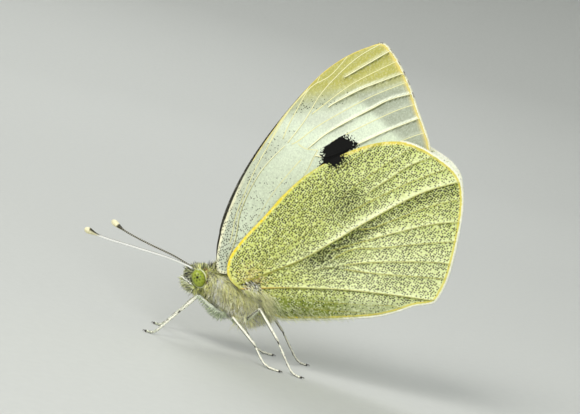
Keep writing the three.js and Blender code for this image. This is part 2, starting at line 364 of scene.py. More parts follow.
def unit(rows):
    return rows / np.maximum(np.linalg.norm(rows, axis=1), 1e-12)[:, None]


def blend(first, second, share):
    share = np.asarray(share)[:, None]
    return first * (1 - share) + second * share


def colour(red, green, blue):
    return np.array(paint(red, green, blue))


def layered(base, count, layers=()):
    """Rows of one colour, with others laid over it as far as their shares say."""
    tones = np.tile(colour(*base), (count, 1))
    for tone, share in layers:
        tones = blend(tones, colour(*tone), share)
    return tones


print("half way up a soft step:", ramp(0.5, 0, 1))


# %% [markdown]
# ## Wing sheets
# A real wing is a film thinner than paper, stiffened by veins and thrown into
# low pleats. Its rim is read from the solid's own edge. A square grid is
# pressed into a disc and stretched out to that rim, which keeps the cells even,
# and rays shot at the solid say how far out each point lies.
# %% Wing outline and grid
def rim_of(node):
    """The edge of a wing's outer face, as y and z in metres, smoothed."""
    work = bmesh.new()
    work.from_mesh(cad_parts[node].data)
    bmesh.ops.remove_doubles(work, verts=work.verts, dist=1e-6)
    work.normal_update()
    outer = {face for face in work.faces if face.normal.x > 0.5}
    edges = [edge for edge in work.edges if sum(face in outer for face in edge.link_faces) == 1]
    partners = {}
    for edge in edges:
        for vert in edge.verts:
            partners.setdefault(vert, []).append(edge.other_vert(vert))
    loop, previous = [edges[0].verts[0]], None
    while True:
        step = next(vert for vert in partners[loop[-1]] if vert is not previous)
        if step is loop[0]:
            break
        previous = loop[-1]
        loop.append(step)
    ring = np.array([(vert.co.y, vert.co.z) for vert in loop])
    work.free()
    return smooth_path(np.vstack((ring[-3:], ring, ring[:3])), 8)[24:-24]


def polar(places, heart):
    """Direction and distance of places, seen from a wing's heart."""
    arm = places - heart
    return np.arctan2(arm[:, 1], arm[:, 0]), np.hypot(*arm.T)


def reach(angles, rim_polar):
    """How far the rim lies from the heart in each direction."""
    return np.interp(angles, *rim_polar, period=math.tau)


def sheet_grid(node, heart, rim_polar, cells):
    """A flat mesh on the wing's middle surface, in even cells."""
    work = bmesh.new()
    bmesh.ops.create_grid(work, x_segments=cells, y_segments=cells, size=1)
    u, v = np.array([vert.co for vert in work.verts])[:, :2].T
    x, y = u * np.sqrt(1 - v * v / 2), v * np.sqrt(1 - u * u / 2)
    radius, angle = np.hypot(x, y), np.arctan2(y, x)
    out, way = reach(angle, rim_polar), np.column_stack((np.cos(angle), np.sin(angle)))
    place = heart + (radius * out)[:, None] * way
    probe = heart + ((radius * 0.985) * out)[:, None] * way  # just inside the solid's rim
    solid = bmesh.new()
    solid.from_mesh(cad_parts[node].data)
    tree = BVHTree.FromBMesh(solid)
    cell_of = [tuple(pair) for pair in np.rint((np.column_stack((u, v)) + 1) / 2 * cells).astype(int)]
    middle = np.zeros((cells + 1, cells + 1))
    for cell, (py, pz) in zip(cell_of, probe):
        near = tree.ray_cast(Vector((0.02, py, pz)), Vector((-1, 0, 0)))[0]
        far = tree.ray_cast(Vector((-0.02, py, pz)), Vector((1, 0, 0)))[0]
        if near is None or far is None:
            near = far = tree.find_nearest(Vector((0.0015, py, pz)))[0]
        middle[cell] = (near.x + far.x) / 2
    solid.free()
    for _ in range(60):  # evens out the flat facets of the solid
        padded = np.pad(middle, 1, mode="edge")
        middle = (padded[:-2, 1:-1] + padded[2:, 1:-1] + padded[1:-1, :-2] + padded[1:-1, 2:]
                  + 4 * middle) / 8
    for vert, cell, (py, pz) in zip(work.verts, cell_of, place):
        vert.co = (middle[cell], py, pz)
    return work


RIM_MARGIN = 0.06  # mm by which the film stays inside the solid's edge
wing_facts = {}
for wing, heart in (("forewing", (9.6, 13.5)), ("hindwing", (11.8, 11.1))):
    low = np.array(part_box(wing + "_left")[0])[1:]
    heart = low + np.array(heart) * MM
    rim = rim_of(wing + "_left")
    inward = heart - rim
    rim = rim + inward / np.linalg.norm(inward, axis=1)[:, None] * RIM_MARGIN * MM
    angle, far = polar(rim, heart)
    order = np.argsort(angle)
    wing_facts[wing] = dict(low=low, heart=heart, rim=np.vstack((rim, rim[:1])), polar=(angle[order], far[order]))
    print(wing, "rim points", len(rim), "span mm", np.ptp(rim, axis=0) / MM)


# %% [markdown]
# ## Veins
# The veins are drawn as a few places each, in millimetres from the low front
# corner of the wing, after a number that says how strong the vein is. Strong
# ones stand up as a pleat, fine ones only as a line.
# %% Vein plans
FOREWING_VEINS = [
    (0.6, [(1.0, 1.5), (1.3, 3.8), (1.1, 6.4), (1.4, 9.3), (1.9, 12.4), (2.7, 15.5), (3.9, 19.6), (5.3, 22.5)]),
    (0.9, [(1.6, 1.5), (1.8, 3.9), (1.5, 6.8), (1.8, 9.4), (2.5, 12.0), (3.4, 13.9), (4.4, 15.6)]),
    (0.5, [(2.2, 13.0), (2.8, 16.2), (3.3, 18.2), (4.7, 21.3), (6.3, 23.7)]),
    (0.6, [(3.9, 14.6), (4.1, 17.3), (4.7, 20.0), (5.5, 22.6), (7.3, 24.5), (8.6, 27.0)]),
    (0.7, [(4.2, 15.2), (4.8, 16.4), (5.9, 19.1), (6.8, 22.2), (8.3, 25.1), (9.9, 27.4), (11.8, 29.3)]),
    (1.0, [(8.9, 24.7), (10.3, 26.1), (12.1, 27.9), (13.1, 28.9)]),
    (0.5, [(5.9, 19.1), (7.1, 20.7), (9.7, 24.0), (12.5, 26.6), (14.4, 28.2)]),
    (1.0, [(8.0, 21.0), (8.6, 21.7), (10.9, 23.8), (12.8, 25.2), (15.2, 26.9)]),
    (0.5, [(4.4, 15.6), (5.6, 16.4), (7.6, 18.9), (11.3, 22.5), (13.2, 24.1), (15.9, 26.1)]),
    (1.0, [(7.0, 16.0), (8.9, 18.5), (12.6, 22.0), (14.4, 23.6), (16.8, 25.0)]),
    (0.5, [(8.1, 16.1), (10.8, 18.7), (13.9, 21.4), (15.8, 22.9), (17.5, 24.0)]),
    (0.9, [(7.9, 15.4), (9.6, 15.8), (12.5, 18.1), (15.3, 20.4), (18.4, 22.7)]),
    (0.5, [(7.7, 14.2), (11.0, 14.8), (13.9, 17.1), (17.2, 19.8), (19.4, 21.3)]),
    (0.4, [(5.6, 16.4), (6.0, 16.1), (6.8, 15.9), (7.6, 16.0), (8.1, 16.1)]),
    (0.8, [(8.1, 16.1), (7.8, 14.9), (7.5, 13.4), (6.2, 9.2), (4.8, 4.2), (3.4, 1.6)]),
    (0.3, [(7.1, 15.6), (5.7, 12.9), (4.3, 9.6), (3.2, 5.5)]),
    (0.5, [(4.0, 1.8), (9.0, 4.6), (15.0, 9.0), (20.6, 13.6)]),
]
HINDWING_VEINS = [
    (0.6, [(1.6, 3.2), (3.6, 5.6), (6.1, 12.6), (8.7, 17.2), (11.7, 20.7), (13.0, 22.6)]),
    (0.5, [(1.8, 2.9), (3.8, 4.7), (5.8, 7.6), (8.7, 11.7), (11.0, 15.9), (14.5, 20.2), (16.1, 21.9), (17.9, 22.9)]),
    (0.9, [(13.0, 15.9), (13.4, 16.6), (15.0, 18.4), (16.7, 20.3), (19.6, 22.4)]),
    (0.5, [(10.3, 12.3), (13.5, 15.3), (17.2, 18.5), (21.2, 21.4)]),
    (1.2, [(1.9, 2.6), (3.8, 4.0), (7.7, 6.9), (11.3, 10.5), (14.0, 13.3), (18.6, 17.6), (22.9, 20.3)]),
    (0.4, [(10.5, 12.1), (11.1, 11.7), (12.2, 11.8)]),
    (0.5, [(12.2, 11.8), (14.3, 12.4), (16.0, 13.6), (20.0, 16.5), (23.5, 18.4)]),
    (1.0, [(10.8, 8.9), (12.6, 10.0), (16.6, 12.4), (20.6, 14.6), (24.0, 15.9)]),
    (0.7, [(1.9, 2.2), (3.5, 2.9), (7.0, 5.0), (11.1, 7.1)]),
    (0.6, [(10.0, 6.6), (12.8, 9.5), (15.9, 10.6), (20.0, 12.2), (24.2, 13.7)]),
    (0.7, [(11.1, 7.1), (15.3, 8.8), (21.7, 10.6), (24.3, 11.0)]),
    (0.6, [(11.1, 7.1), (15.6, 7.7), (20.0, 8.5), (24.1, 9.3)]),
    (1.0, [(2.0, 2.0), (4.3, 2.8), (11.7, 4.8), (17.2, 5.8), (23.5, 6.6)]),
    (0.4, [(4.5, 2.0), (6.6, 2.4), (12.1, 3.3), (19.8, 5.0)]),
    (0.3, [(6.7, 1.6), (12.3, 2.4), (15.6, 3.1), (17.7, 3.4)]),
]
MAIN, ANAL, GOLDEN = 4, 12, 7  # hindwing veins that stand out or have a colour of their own


def vein_paths(facts, plans):
    """The smoothed veins as strength and places in metres, ending at the rim."""
    for strength, plan in plans:
        places = facts["low"] + smooth_path(plan, 8) * MM
        angle, far = polar(places, facts["heart"])
        edge = reach(angle, facts["polar"])
        inside = np.minimum(far, edge * 0.99)
        if far[-1] > edge[-1] * 0.93:
            inside[-1] = edge[-1] * 0.99
        yield strength, facts["heart"] + (places - facts["heart"]) * (inside / far)[:, None]


def nearest_run(points, path):
    """Distance in millimetres from each point to a path, plain and signed by its side."""
    best = np.full(len(points), 1e9)
    side = np.zeros(len(points))
    for start, end in zip(path, path[1:]):
        span = end - start
        share = np.clip(((points - start) @ span) / max(span @ span, 1e-18), 0, 1)
        gap = points - start - share[:, None] * span
        far = np.hypot(*gap.T) / MM
        closer = far < best
        best[closer] = far[closer]
        side[closer] = (span[0] * gap[:, 1] - span[1] * gap[:, 0])[closer]
    return best, best * np.sign(side)


def stands_out(wing, index, y):
    """How far a vein stands out of the film at y: all but two fade in outwards."""
    if wing == "forewing" or index in (MAIN, ANAL):
        return np.ones(len(y))
    return 0.25 + 0.75 * (ramp(y, 13, 18) if index == GOLDEN else ramp(y, 8, 15))


for wing, plans in (("forewing", FOREWING_VEINS), ("hindwing", HINDWING_VEINS)):
    wing_facts[wing]["veins"] = list(vein_paths(wing_facts[wing], plans))
    print(wing, len(plans), "veins")


# %% [markdown]
# ## Giving the sheets a body
# Each pleat is a low swell along its vein with a dip below it. The sheet is
# then thickened, and unfolded on its map: the outer face fills the left half
# and the inner face the right.
# %% Wing sheets
def wing_sheet(wing, cells=150, thickness=0.07):
    facts = wing_facts[wing]
    work = sheet_grid(wing + "_left", facts["heart"], facts["polar"], cells)
    spots = np.array([vert.co for vert in work.verts])
    lift = np.zeros(len(spots))
    for index, (strength, path) in enumerate(facts["veins"]):
        far, off = nearest_run(spots[:, 1:], path)
        strength = strength * stands_out(wing, index, (spots[:, 1] - facts["low"][0]) / MM)
        height = 0.5 if wing == "forewing" else 0.9 if index in (MAIN, ANAL) else 0.7
        lift += np.maximum(strength - 0.35, 0.05) * height * (0.1 * bell(far, 0.35) - 0.05 * bell(off + 0.6, 0.4))
    for vert, rise in zip(work.verts, lift):
        vert.co.x += rise * MM
    bmesh.ops.recalc_face_normals(work, faces=work.faces)
    if sum(face.normal.x for face in work.faces) < 0:
        bmesh.ops.reverse_faces(work, faces=work.faces)
    bmesh.ops.solidify(work, geom=work.faces[:], thickness=thickness * MM)
    bmesh.ops.recalc_face_normals(work, faces=work.faces)
    mesh = made(work, wing + "_sheet_left")
    spots = corners_of(mesh)
    flat = (spots - spots.min(0)) / np.ptp(spots, axis=0)
    flat = flat[read(mesh.loops, "vertex_index", kind=int)]
    counts = read(mesh.polygons, "loop_total", kind=int)
    inner = np.repeat(read(mesh.polygons, "normal", 3)[:, 0] < 0, counts)
    places = np.column_stack((flat[:, 1] * 0.48 + 0.01 + inner * 0.5, flat[:, 2] * 0.98 + 0.01))
    mesh.uv_layers.new(name="OFBake").data.foreach_set("uv", places.ravel())
    print(mesh.name, "has", len(spots), "points")
    return mesh


sheets = {wing: wing_sheet(wing) for wing in wing_facts}


# %% [markdown]
# ## Markings of the wings
# Every point is told what the scales there look like, by rules in the wing's
# own millimetres: ground colour, density of dark specks (dust, and on the
# hindwing also painted shade and painted highlight), distance to the rim, and
# the black spot. Shares of colours are laid over each other like thin paint.
# %% Spots and fringed edges
def wing_measures(wing):
    """Local millimetres, distance to the rim, inward faces, and places in the wing's plane."""
    facts, mesh = wing_facts[wing], sheets[wing]
    plane = corners_of(mesh)[:, 1:]
    edge = nearest_run(plane, facts["rim"])[0]
    inner = read(mesh.vertices, "normal", 3)[:, 0] < 0
    return *((plane - facts["low"]) / MM).T, edge, inner, plane


def forewing_spot(y, z):
    """1 deep inside the black spot, 0.5 on its edge. A vein cuts one side off sharply."""
    plan = np.array([(10.5, 18.6), (8.6, 16.5), (8.9, 14.4), (11.0, 15.0), (12.2, 17.9)])
    points = np.column_stack((y, z))
    inside = np.full(len(points), 9.0)
    for side, (start, end) in enumerate(zip(plan, np.roll(plan, -1, axis=0))):
        span = (end - start) / np.linalg.norm(end - start)
        depth = (points - start) @ np.array((-span[1], span[0]))
        inside = np.minimum(inside, depth * 9 if side == 0 else depth)
    return np.clip(0.5 + inside, 0, 1)


def hindwing_spot(y, z):
    """The hindwing has a smaller one at its upper edge, where the forewing's ends."""
    return 1.15 * patch(y, z, (8.5, 18.8), 1.25, 1.0)


def forewing_fringed(y, z):
    return ramp(y, 10.5, 12.5) * ramp(z, 12, 13.5)


def hindwing_fringed(y, z):
    return np.maximum(ramp(y, 14, 16), ramp(y, 4, 7) * fade(z, 6, 8))


SPOTS = {"forewing": forewing_spot, "hindwing": hindwing_spot}
FRINGED = {"forewing": forewing_fringed, "hindwing": hindwing_fringed}
print("black spot at its middle and 2 mm below:", forewing_spot(np.array((10.2, 10.2)), np.array((16.4, 12.4))))
NO_BAND = 9.0  # added to the rim's distance where neither band nor fringe is painted
UPPER_WHITE = (236, 238, 222)


def mark(wing, ground, dust, spot, bare):
    """Notes the markings. The narrow band lies further in where there is no fringe."""
    rim = edge + 0.24 * (1 - FRINGED[wing](y, z)) + NO_BAND * bare
    note(sheets[wing], ground=ground, dust=dust, rim=rim, spot=spot)
    print(wing, "is painted, mean dust", round(float(dust.mean()), 3))


# %% [markdown]
# The forewing is white, with a grey smudge and a yellow tip beyond a slanting
# line, and dust at its root. Near the outer edge a painted shadow lies below
# each strong vein and a painted highlight above every vein. Its inner face,
# the animal's upper side, is white with a black tip.
# %% Forewing
y, z, edge, inner, plane = wing_measures("forewing")
past = z - 20.6 - 0.46 * (y - 4.9)  # mm beyond the line where the yellow tip starts
off_costal = nearest_run(plane, wing_facts["forewing"]["veins"][1][1])[1]
before_stem = ramp(off_costal, -0.3, 0.3) * fade(z, 14, 19) * (y < 6)
ground = layered((220, 230, 206), len(y), [
    # darker lower down: partly painted shadow of the hindwing, partly dust
    ((200, 209, 184), fade(z, 10, 19)),
    ((204, 210, 190), 0.8 * ramp(z, 17.5, 19.5) * fade(past, -2.4, 0.2) * fade(y, 9, 12)),
    ((184, 190, 168), 0.7 * before_stem),
    ((168, 173, 142), 0.8 * ramp(past, -2.0, -0.2) * fade(past, 0.2, 2.2)),
    ((182, 178, 98), ramp(past, -0.6, 1.8)),
    ((164, 170, 150), 0.9 * ramp(z + 0.53 * y, 28.0, 29.2) * fade(past, -0.9, 0.6)),
    ((196, 178, 82), 0.6 * fade(edge, 0.05, 0.3) * ramp(z, 10, 20) * fade(y, 11, 13)),
    ((222, 202, 118), 0.7 * fade(edge, 0.2, 0.75) * ramp(y, 11, 13)),
    ((234, 230, 196), 0.9 * fade(edge, 0.15, 0.45) * fade(z, 8, 13))])
dust = 0.3 * fade(z, 2, 16) ** 1.4 + 0.17 * bell(past + 0.3, 0.6) * fade(y, 7, 11)
dust += 0.13 * before_stem * ramp(edge, 0.25, 0.6)
outer_part = ramp(y, 7, 10.5) * ramp(z, 12, 16)
for strength, path in wing_facts["forewing"]["veins"]:
    off, strong = nearest_run(plane, path)[1], strength > 0.8
    # painted shadow below the strong veins and painted highlight above every vein, in the outer part
    painted_shade_below = 0.95 * strength * strong * (bell(off + 0.14, 0.08) + 0.1 * bell(off + 0.4, 0.3)) * outer_part
    above = (0.24 + 0.72 * strong) * bell(off - 0.18, 0.12) * outer_part * (1 - 0.6 * ramp(past, 0, 2))
    ground = blend(ground, colour(84, 88, 40), np.clip(painted_shade_below, 0, 1))
    ground = blend(ground, colour(246, 250, 228), np.clip(above, 0, 1))
upper = layered(UPPER_WHITE, len(y), [
    ((52, 48, 42), ramp(z - 24.5 - 0.3 * (y - 8), -1.5, 1.0)),
    ((64, 57, 45), 0.9 * fade(edge, 0.25, 0.5) * fade(y, 8, 9))])
ground[inner] = upper[inner]
dust = np.where(inner, fade(edge, 0.35, 0.6) * (y < 9), dust)
spot = np.where(inner, 0, forewing_spot(y, z))
mark("forewing", ground, dust, spot, ((z < 13) & (y < 6)) | (inner & (y < 9)))

# %% [markdown]
# The hindwing is greenish yellow under its dust. Below the main vein lies
# painted shade, an olive tone and denser dark specks; along the veins a painted
# highlight with fewer specks lies on the lit side and a painted shadow line just
# below, which makes the veins look raised.
# %% Hindwing
y, z, edge, inner, plane = wing_measures("hindwing")
veins = [(strength, nearest_run(plane, path)[1]) for strength, path in wing_facts["hindwing"]["veins"]]
below_anal = ramp(-veins[ANAL][1], 0.3, 1.6)
# painted shade below the main vein and in two patches: an olive tone and denser dark specks
shaded = bell(veins[MAIN][1] + 0.75, 0.7) * ramp(y, 7.5, 10.5) * (1 - 0.6 * ramp(y, 13, 16))
shaded += 0.6 * patch(y, z, (11.0, 14.6), 1.7, 1.8) + 0.3 * patch(y, z, (10.8, 7.6), 2.6, 1.1)
pale_part = 0.5 * patch(y, z, (11.5, 6.8), 3.5, 1.5) + 0.4 * ramp(y, 12, 16) * fade(z, 11, 16)
ground = layered((206, 215, 135), len(y), [
    ((196, 204, 115), fade(y, 5, 12)),
    ((112, 126, 36), 0.9 * below_anal),
    ((206, 190, 104), 0.5 * patch(y, z, (2.8, 3.4), 1.7, 1.2)),
    ((252, 218, 14), fade(edge, 0.1, 0.4) * fade(y, 2, 8) * ramp(z, 2, 5)),
    ((228, 204, 84), 0.9 * fade(edge, 0.2, 0.5) * ramp(y, 8, 11) * ramp(z, 15, 17) * (1 - 0.6 * ramp(y, 17, 19))),
    ((232, 238, 192), pale_part),
    ((150, 162, 84), 0.75 * np.clip(shaded, 0, 1))])
dust = 0.46 + 0.42 * shaded - 0.04 * ramp(y, 12, 16)
for index, (strength, off) in enumerate(veins):
    main = index == MAIN
    away = ramp(y, 3, 7) * strength * stands_out("hindwing", index, y)
    away = away * (0.35 + 0.65 * ramp(y, 8, 12)) if main else away
    # painted highlight on the lit side of each vein, with fewer specks there; painted shadow line just below it
    lit = ramp(off, -0.02, 0.12) * np.exp(-np.maximum(off - 0.12, 0) / (0.42 if main else 0.22))
    shade_line_below = bell(off + 0.12, 0.09) + (0.45 if main else 0.2) * ramp(-off, 0.0, 0.1) * np.exp(off.clip(-9, 0) / 0.5)
    painted_highlight = np.clip(0.85 * away, 0, 1) * (1 - 0.4 * ramp(y, 15, 19) if main else 0.55)
    painted_shadow_line = np.clip((0.85 if index in (MAIN, ANAL) else 0.6) * (0.25 + away) * shade_line_below, 0, 0.85)
    dust *= 1 - np.clip((0.75 if main else 0.45) * away, 0, 0.85) * lit
    ground = blend(ground, colour(240, 244, 206), painted_highlight * lit)
    ground = blend(ground, colour(124, 136, 14), painted_shadow_line * (strength > 0.45))
dust = dust * (1 - 0.5 * below_anal) * ramp(edge, 0.2, 0.5)
ground[inner] = colour(*UPPER_WHITE)
mark("hindwing", ground, np.where(inner, 0.03, np.clip(dust, 0, 0.8)), hindwing_spot(y, z), inner)


# %% [markdown]
# ## Wing scales
# A wing is tiled with flat scales about a tenth of a millimetre across, in
# rows. A cell pattern gives each scale its own chance numbers: one decides if
# it is a pale scale, another how light it is. A second, wider pattern scatters
# the dark specks, as dense as each point asks, and the black spot gets its
# ragged edge from chance too.
# %% Scale materials
BLACK_SCALES = (9, 9, 8)
MATT = dict(Specular_IOR_Level=0.15)


def scale_material(name, lean, speck, band, fleck, dark_share, light_share):
    look = Finish(name, 0.62, **MATT)
    place = look.add("SeparateXYZ", {0: look.coords}).outputs
    plane = look.add("CombineXYZ", {0: place[1], 1: place[2]}).outputs[0]

    def tiles(turn, wide, high, randomness):
        turned = {"Vector": plane, "Rotation": (0, 0, math.radians(turn)), "Scale": (wide * MM, high * MM, 1)}
        rows = look.add("Mapping", turned, vector_type="TEXTURE").outputs[0]
        sockets = {"Vector": rows, "Scale": 1.0, "Randomness": randomness}
        cells = look.add("TexVoronoi", sockets, voronoi_dimensions="2D").outputs
        return cells["Distance"], look.parts(cells["Color"])

    distance, chance = tiles(lean, 0.12, 0.14, 0.95)
    from_grain, luck = tiles(lean + 20, 0.215, 0.24, 0.52)
    dust, rim = look.noted("dust"), look.noted("rim")
    uneven = look.calc("MULTIPLY", dust, look.calc("MULTIPLY_ADD", look.noise(500.0), 0.8, 0.6))
    size = look.calc("MULTIPLY_ADD", luck[1], 0.12, look.calc("MULTIPLY_ADD", dust, 0.27, 0.175))
    dark = look.calc("MULTIPLY", look.calc("LESS_THAN", luck[0], look.calc("MULTIPLY", uneven, 1.9)),
                     look.calc("LESS_THAN", from_grain, size))
    shade = look.grey(look.calc("MULTIPLY_ADD", chance[1], 0.2, 0.88))
    light = look.calc("GREATER_THAN", chance[0], 0.78)
    in_fringe = look.calc("LESS_THAN", look.calc("MULTIPLY_ADD", chance[1], 0.1, rim), 0.13)
    off_band = look.calc("ABSOLUTE", look.calc("SUBTRACT", rim, 0.22))
    edging = look.calc("LESS_THAN", look.calc("MULTIPLY_ADD", chance[2], 0.05, off_band), 0.12)
    ground = look.mix(1.0, look.noted("ground", "Color"), shade, "MULTIPLY")
    for where, share, tone in ((light, light_share, fleck), (in_fringe, 0.9, (250, 249, 226)),
                               (edging, 0.85, band), (dark, dark_share, speck)):
        ground = look.mix(look.calc("MULTIPLY", where, share), ground, tone)
    torn = look.calc("ADD", look.noted("spot"), look.calc("MULTIPLY_ADD", chance[2], 0.8, -0.36))
    ground = look.mix(look.calc("GREATER_THAN", torn, 0.5), ground, BLACK_SCALES)
    ridge = look.calc("MULTIPLY_ADD", chance[1], 0.5, look.calc("MULTIPLY", distance, -0.8))
    return look.done(ground, ridge, 0.3, 0.03)


scale_looks = {
    "forewing": scale_material("forewing scales", 25, (34, 36, 24), (224, 208, 118), (240, 246, 226), 0.85, 0.14),
    "hindwing": scale_material("hindwing scales", 50, (8, 10, 3), (216, 202, 92), (246, 250, 208), 1.0, 0.42)}
SWINGS = {"forewing": (-1.2, -0.6), "hindwing": (2.0, 0.35)}  # the right wings: degrees, and mm slid back


def other_side(mesh, wing):
    """A right piece: the mirrored left one, turned and slid about the hinge."""
    turn, shift = SWINGS[wing]
    twin = mesh.copy()
    twin.name = mesh.name.replace("left", "right")
    hinge = at(0, -4.5, 7.5)
    slide = Matrix.Translation((0, shift * MM, 0))
    swing = Matrix.Translation(hinge) @ Matrix.Rotation(math.radians(turn), 4, "X") @ Matrix.Translation(-hinge)
    twin.transform(slide @ swing @ Matrix.Diagonal((-1, 1, 1, 1)))
    twin.flip_normals()
    return twin


def finish_pair(mesh, material, wing, solids=False):
    """A left piece of a wing and its twin on the right."""
    for piece, side in ((mesh, "_left"), (other_side(mesh, wing), "_right")):
        finish_piece(piece, material, wing + "_scales", *[wing + side] * solids)


for wing, mesh in sheets.items():
    finish_pair(mesh, scale_looks[wing], wing, solids=True)
    low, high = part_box(wing + "_right")
    print(wing + "_right box", [round(value / MM, 1) for value in (*low, *high)])


# %% [markdown]
# ## Veins in relief
# The veins are hollow rods that show on both faces of the film, thick at the
# base and thin at the rim. One rod along the middle of the sheet serves both.
# The lower side of a strong rod is darkened as painted shade.
# %% Vein rods
def tree_of(mesh):
    return BVHTree.FromPolygons([tuple(spot) for spot in corners_of(mesh)],
                                [tuple(face.vertices) for face in mesh.polygons])


def vein_rods(wing):
    facts, tree = wing_facts[wing], tree_of(sheets[wing])
    runs = []
    for index, (strength, path) in enumerate(facts["veins"]):
        if strength < 0.8:  # the fine ones only show from a little way out
            path = path[len(path) // 8:]
        out = stands_out(wing, index, (path[:, 0] - facts["low"][0]) / MM)
        swell = 0.06 if index in (MAIN, ANAL) or wing == "forewing" else 0.04
        radius = (0.042 + swell * strength * out) * (1 - 0.3 * np.linspace(0, 1, len(path)))
        hits = [tree.ray_cast(Vector((0.02, *place)), Vector((-1, 0, 0)))[0] for place in path]
        runs.append(np.array([(hit.x - 0.035 * MM, *place, thick * MM)
                              for hit, place, thick in zip(hits, path, radius) if hit is not None]))
    mesh = tubes(wing + "_veins_left", runs)
    plane = corners_of(mesh)[:, 1:]
    y, z = ((plane - facts["low"]) / MM).T
    nearest = np.full(len(plane), 1e9)
    height, strong, gold = np.zeros((3, len(plane)))
    for index, (strength, path) in enumerate(facts["veins"]):
        far, off = nearest_run(plane, path)
        closer = far < nearest
        nearest[closer] = far[closer]
        gold[closer] = wing == "hindwing" and index in (GOLDEN, ANAL)
        height[closer] = off[closer] / (0.045 + 0.06 * strength)
        strong[closer] = (strength * stands_out(wing, index, y))[closer]
    # under: painted shade on the lower side of strong veins
    note(mesh, under=ramp(-height, 0.05, 0.5) * ramp(strong, 0.5, 0.9), strong=ramp(strong, 0.3, 1.0),
         dim=fade(y, 5, 12) if wing == "hindwing" else 0.5 - 0.5 * ramp(z, 8, 14),
         gold=gold * fade(y, 4, 9), spot=SPOTS[wing](y, z))
    return mesh


def vein_material(name, light, shade, root):
    look = Finish(name, 0.62, **MATT)
    grain = look.noise(9000.0)
    base = look.mix(look.noted("strong"), shade, look.mix(grain, light, shade))
    base = look.mix(look.calc("MULTIPLY", look.noted("dim"), 0.9), base, root)
    base = look.mix(look.noted("gold"), base, (208, 176, 84))
    # painted shade on the lower side of strong veins
    base = look.mix(look.calc("MULTIPLY", look.noted("under"), 0.9), base, (104, 108, 26))
    base = look.mix(look.calc("GREATER_THAN", look.noted("spot"), 0.45), base, BLACK_SCALES)
    return look.done(base, grain, 0.3, 0.02)


vein_looks = {
    "forewing": vein_material("forewing veins", (252, 251, 222), (230, 226, 168), (178, 180, 134)),
    "hindwing": vein_material("hindwing veins", (240, 242, 184), (166, 162, 58), (146, 148, 62))}
for wing, look in vein_looks.items():
    finish_pair(vein_rods(wing), look, wing)


# %% [markdown]
# ## Hair
# Every hair is the same small tapered spike of three sides, laid along its own
# line: out of the skin, along the lie of the coat, and curling a little. The
# template is one cone, and all its copies are placed at once as arrays, which
# is quick. Each hair keeps a small patch of the skin's map at its root.
# %% Hair template and planting
def hair_template(rings=3):
    work = bmesh.new()
    bmesh.ops.create_cone(work, cap_ends=False, segments=3, radius1=1, radius2=0, depth=1)
    bmesh.ops.remove_doubles(work, verts=work.verts, dist=1e-5)
    long_edges = [edge for edge in work.edges if abs(edge.verts[0].co.z - edge.verts[1].co.z) > 0.5]
    bmesh.ops.subdivide_edges(work, edges=long_edges, cuts=rings - 1)
    bmesh.ops.triangulate(work, faces=work.faces)
    shape = np.array([vert.co for vert in work.verts])
    faces = np.array([[vert.index for vert in face.verts] for face in work.faces])
    work.free()
    height = shape[:, 2] + 0.5
    belly = np.where(height < 0.999, (1 - height) ** -0.55, 1)  # slower taper than a cone
    return shape[:, :2] * np.minimum(belly, 3)[:, None], height, faces


SPIKE, SPIKE_HEIGHT, SPIKE_FACES = hair_template()
PATCH = 0.0015  # half the size of a hair's place on the map


def plant(name, roots, lie, normals, lengths, widths, curls, tones, tips, patches):
    """A mesh of hairs. Lengths and widths are in millimetres; curls bends them."""
    lie, across = unit(lie), unit(np.cross(lie, normals))
    other = np.cross(across, lie)
    count, points = len(roots), len(SPIKE)
    along = SPIKE_HEIGHT[None, :, None]
    spots = roots[:, None] + lengths[:, None, None] * MM * (lie[:, None] * along + curls[:, None] * along ** 2)
    spots = spots + widths[:, None, None] * MM / 2 * (across[:, None] * SPIKE[None, :, :1]
                                                      + other[:, None] * SPIKE[None, :, 1:])
    faces = (SPIKE_FACES[None] + np.arange(count)[:, None, None] * points).reshape(-1, 3)
    mesh = bpy.data.meshes.new(name)
    mesh.vertices.add(count * points)
    mesh.vertices.foreach_set("co", spots.ravel())
    mesh.loops.add(faces.size)
    mesh.loops.foreach_set("vertex_index", faces.ravel())
    mesh.polygons.add(len(faces))
    mesh.polygons.foreach_set("loop_start", np.arange(len(faces)) * 3)
    smooth(mesh)
    mesh.update(calc_edges=True)
    mesh.validate()
    note(mesh, coat=(tones[:, None] * (1 - along) + tips[:, None] * along).reshape(-1, 4))
    own_map = PATCH * np.column_stack((SPIKE[:, 0] * 0.8, SPIKE_HEIGHT * 2 - 1))
    places = (patches[:, None] + own_map[None]).reshape(-1, 2)[faces.ravel()]
    mesh.uv_layers.new(name="OFBake").data.foreach_set("uv", places.ravel())
    return mesh


body_coat = Finish("body coat", 0.55, Sheen_Weight=0.45, Specular_IOR_Level=0.35)
fine = body_coat.noise(6000.0)
streaks = body_coat.grey(body_coat.calc("MULTIPLY_ADD", fine, 0.5, 0.75))
coat_look = body_coat.done(body_coat.mix(1.0, body_coat.noted("coat", "Color"), streaks, "MULTIPLY"), fine, 0.4, 0.03)
print("a hair has", len(SPIKE_FACES), "triangles")


# %% [markdown]
# ## Fringes
# Along its outer edge a wing ends in a fringe of hair-like scales, white on
# this species, with a few brown ones where the veins reach the tip.
# %% Wing fringes
chance = np.random.default_rng(11)
ROWS = 2  # hairs for each step along the rim


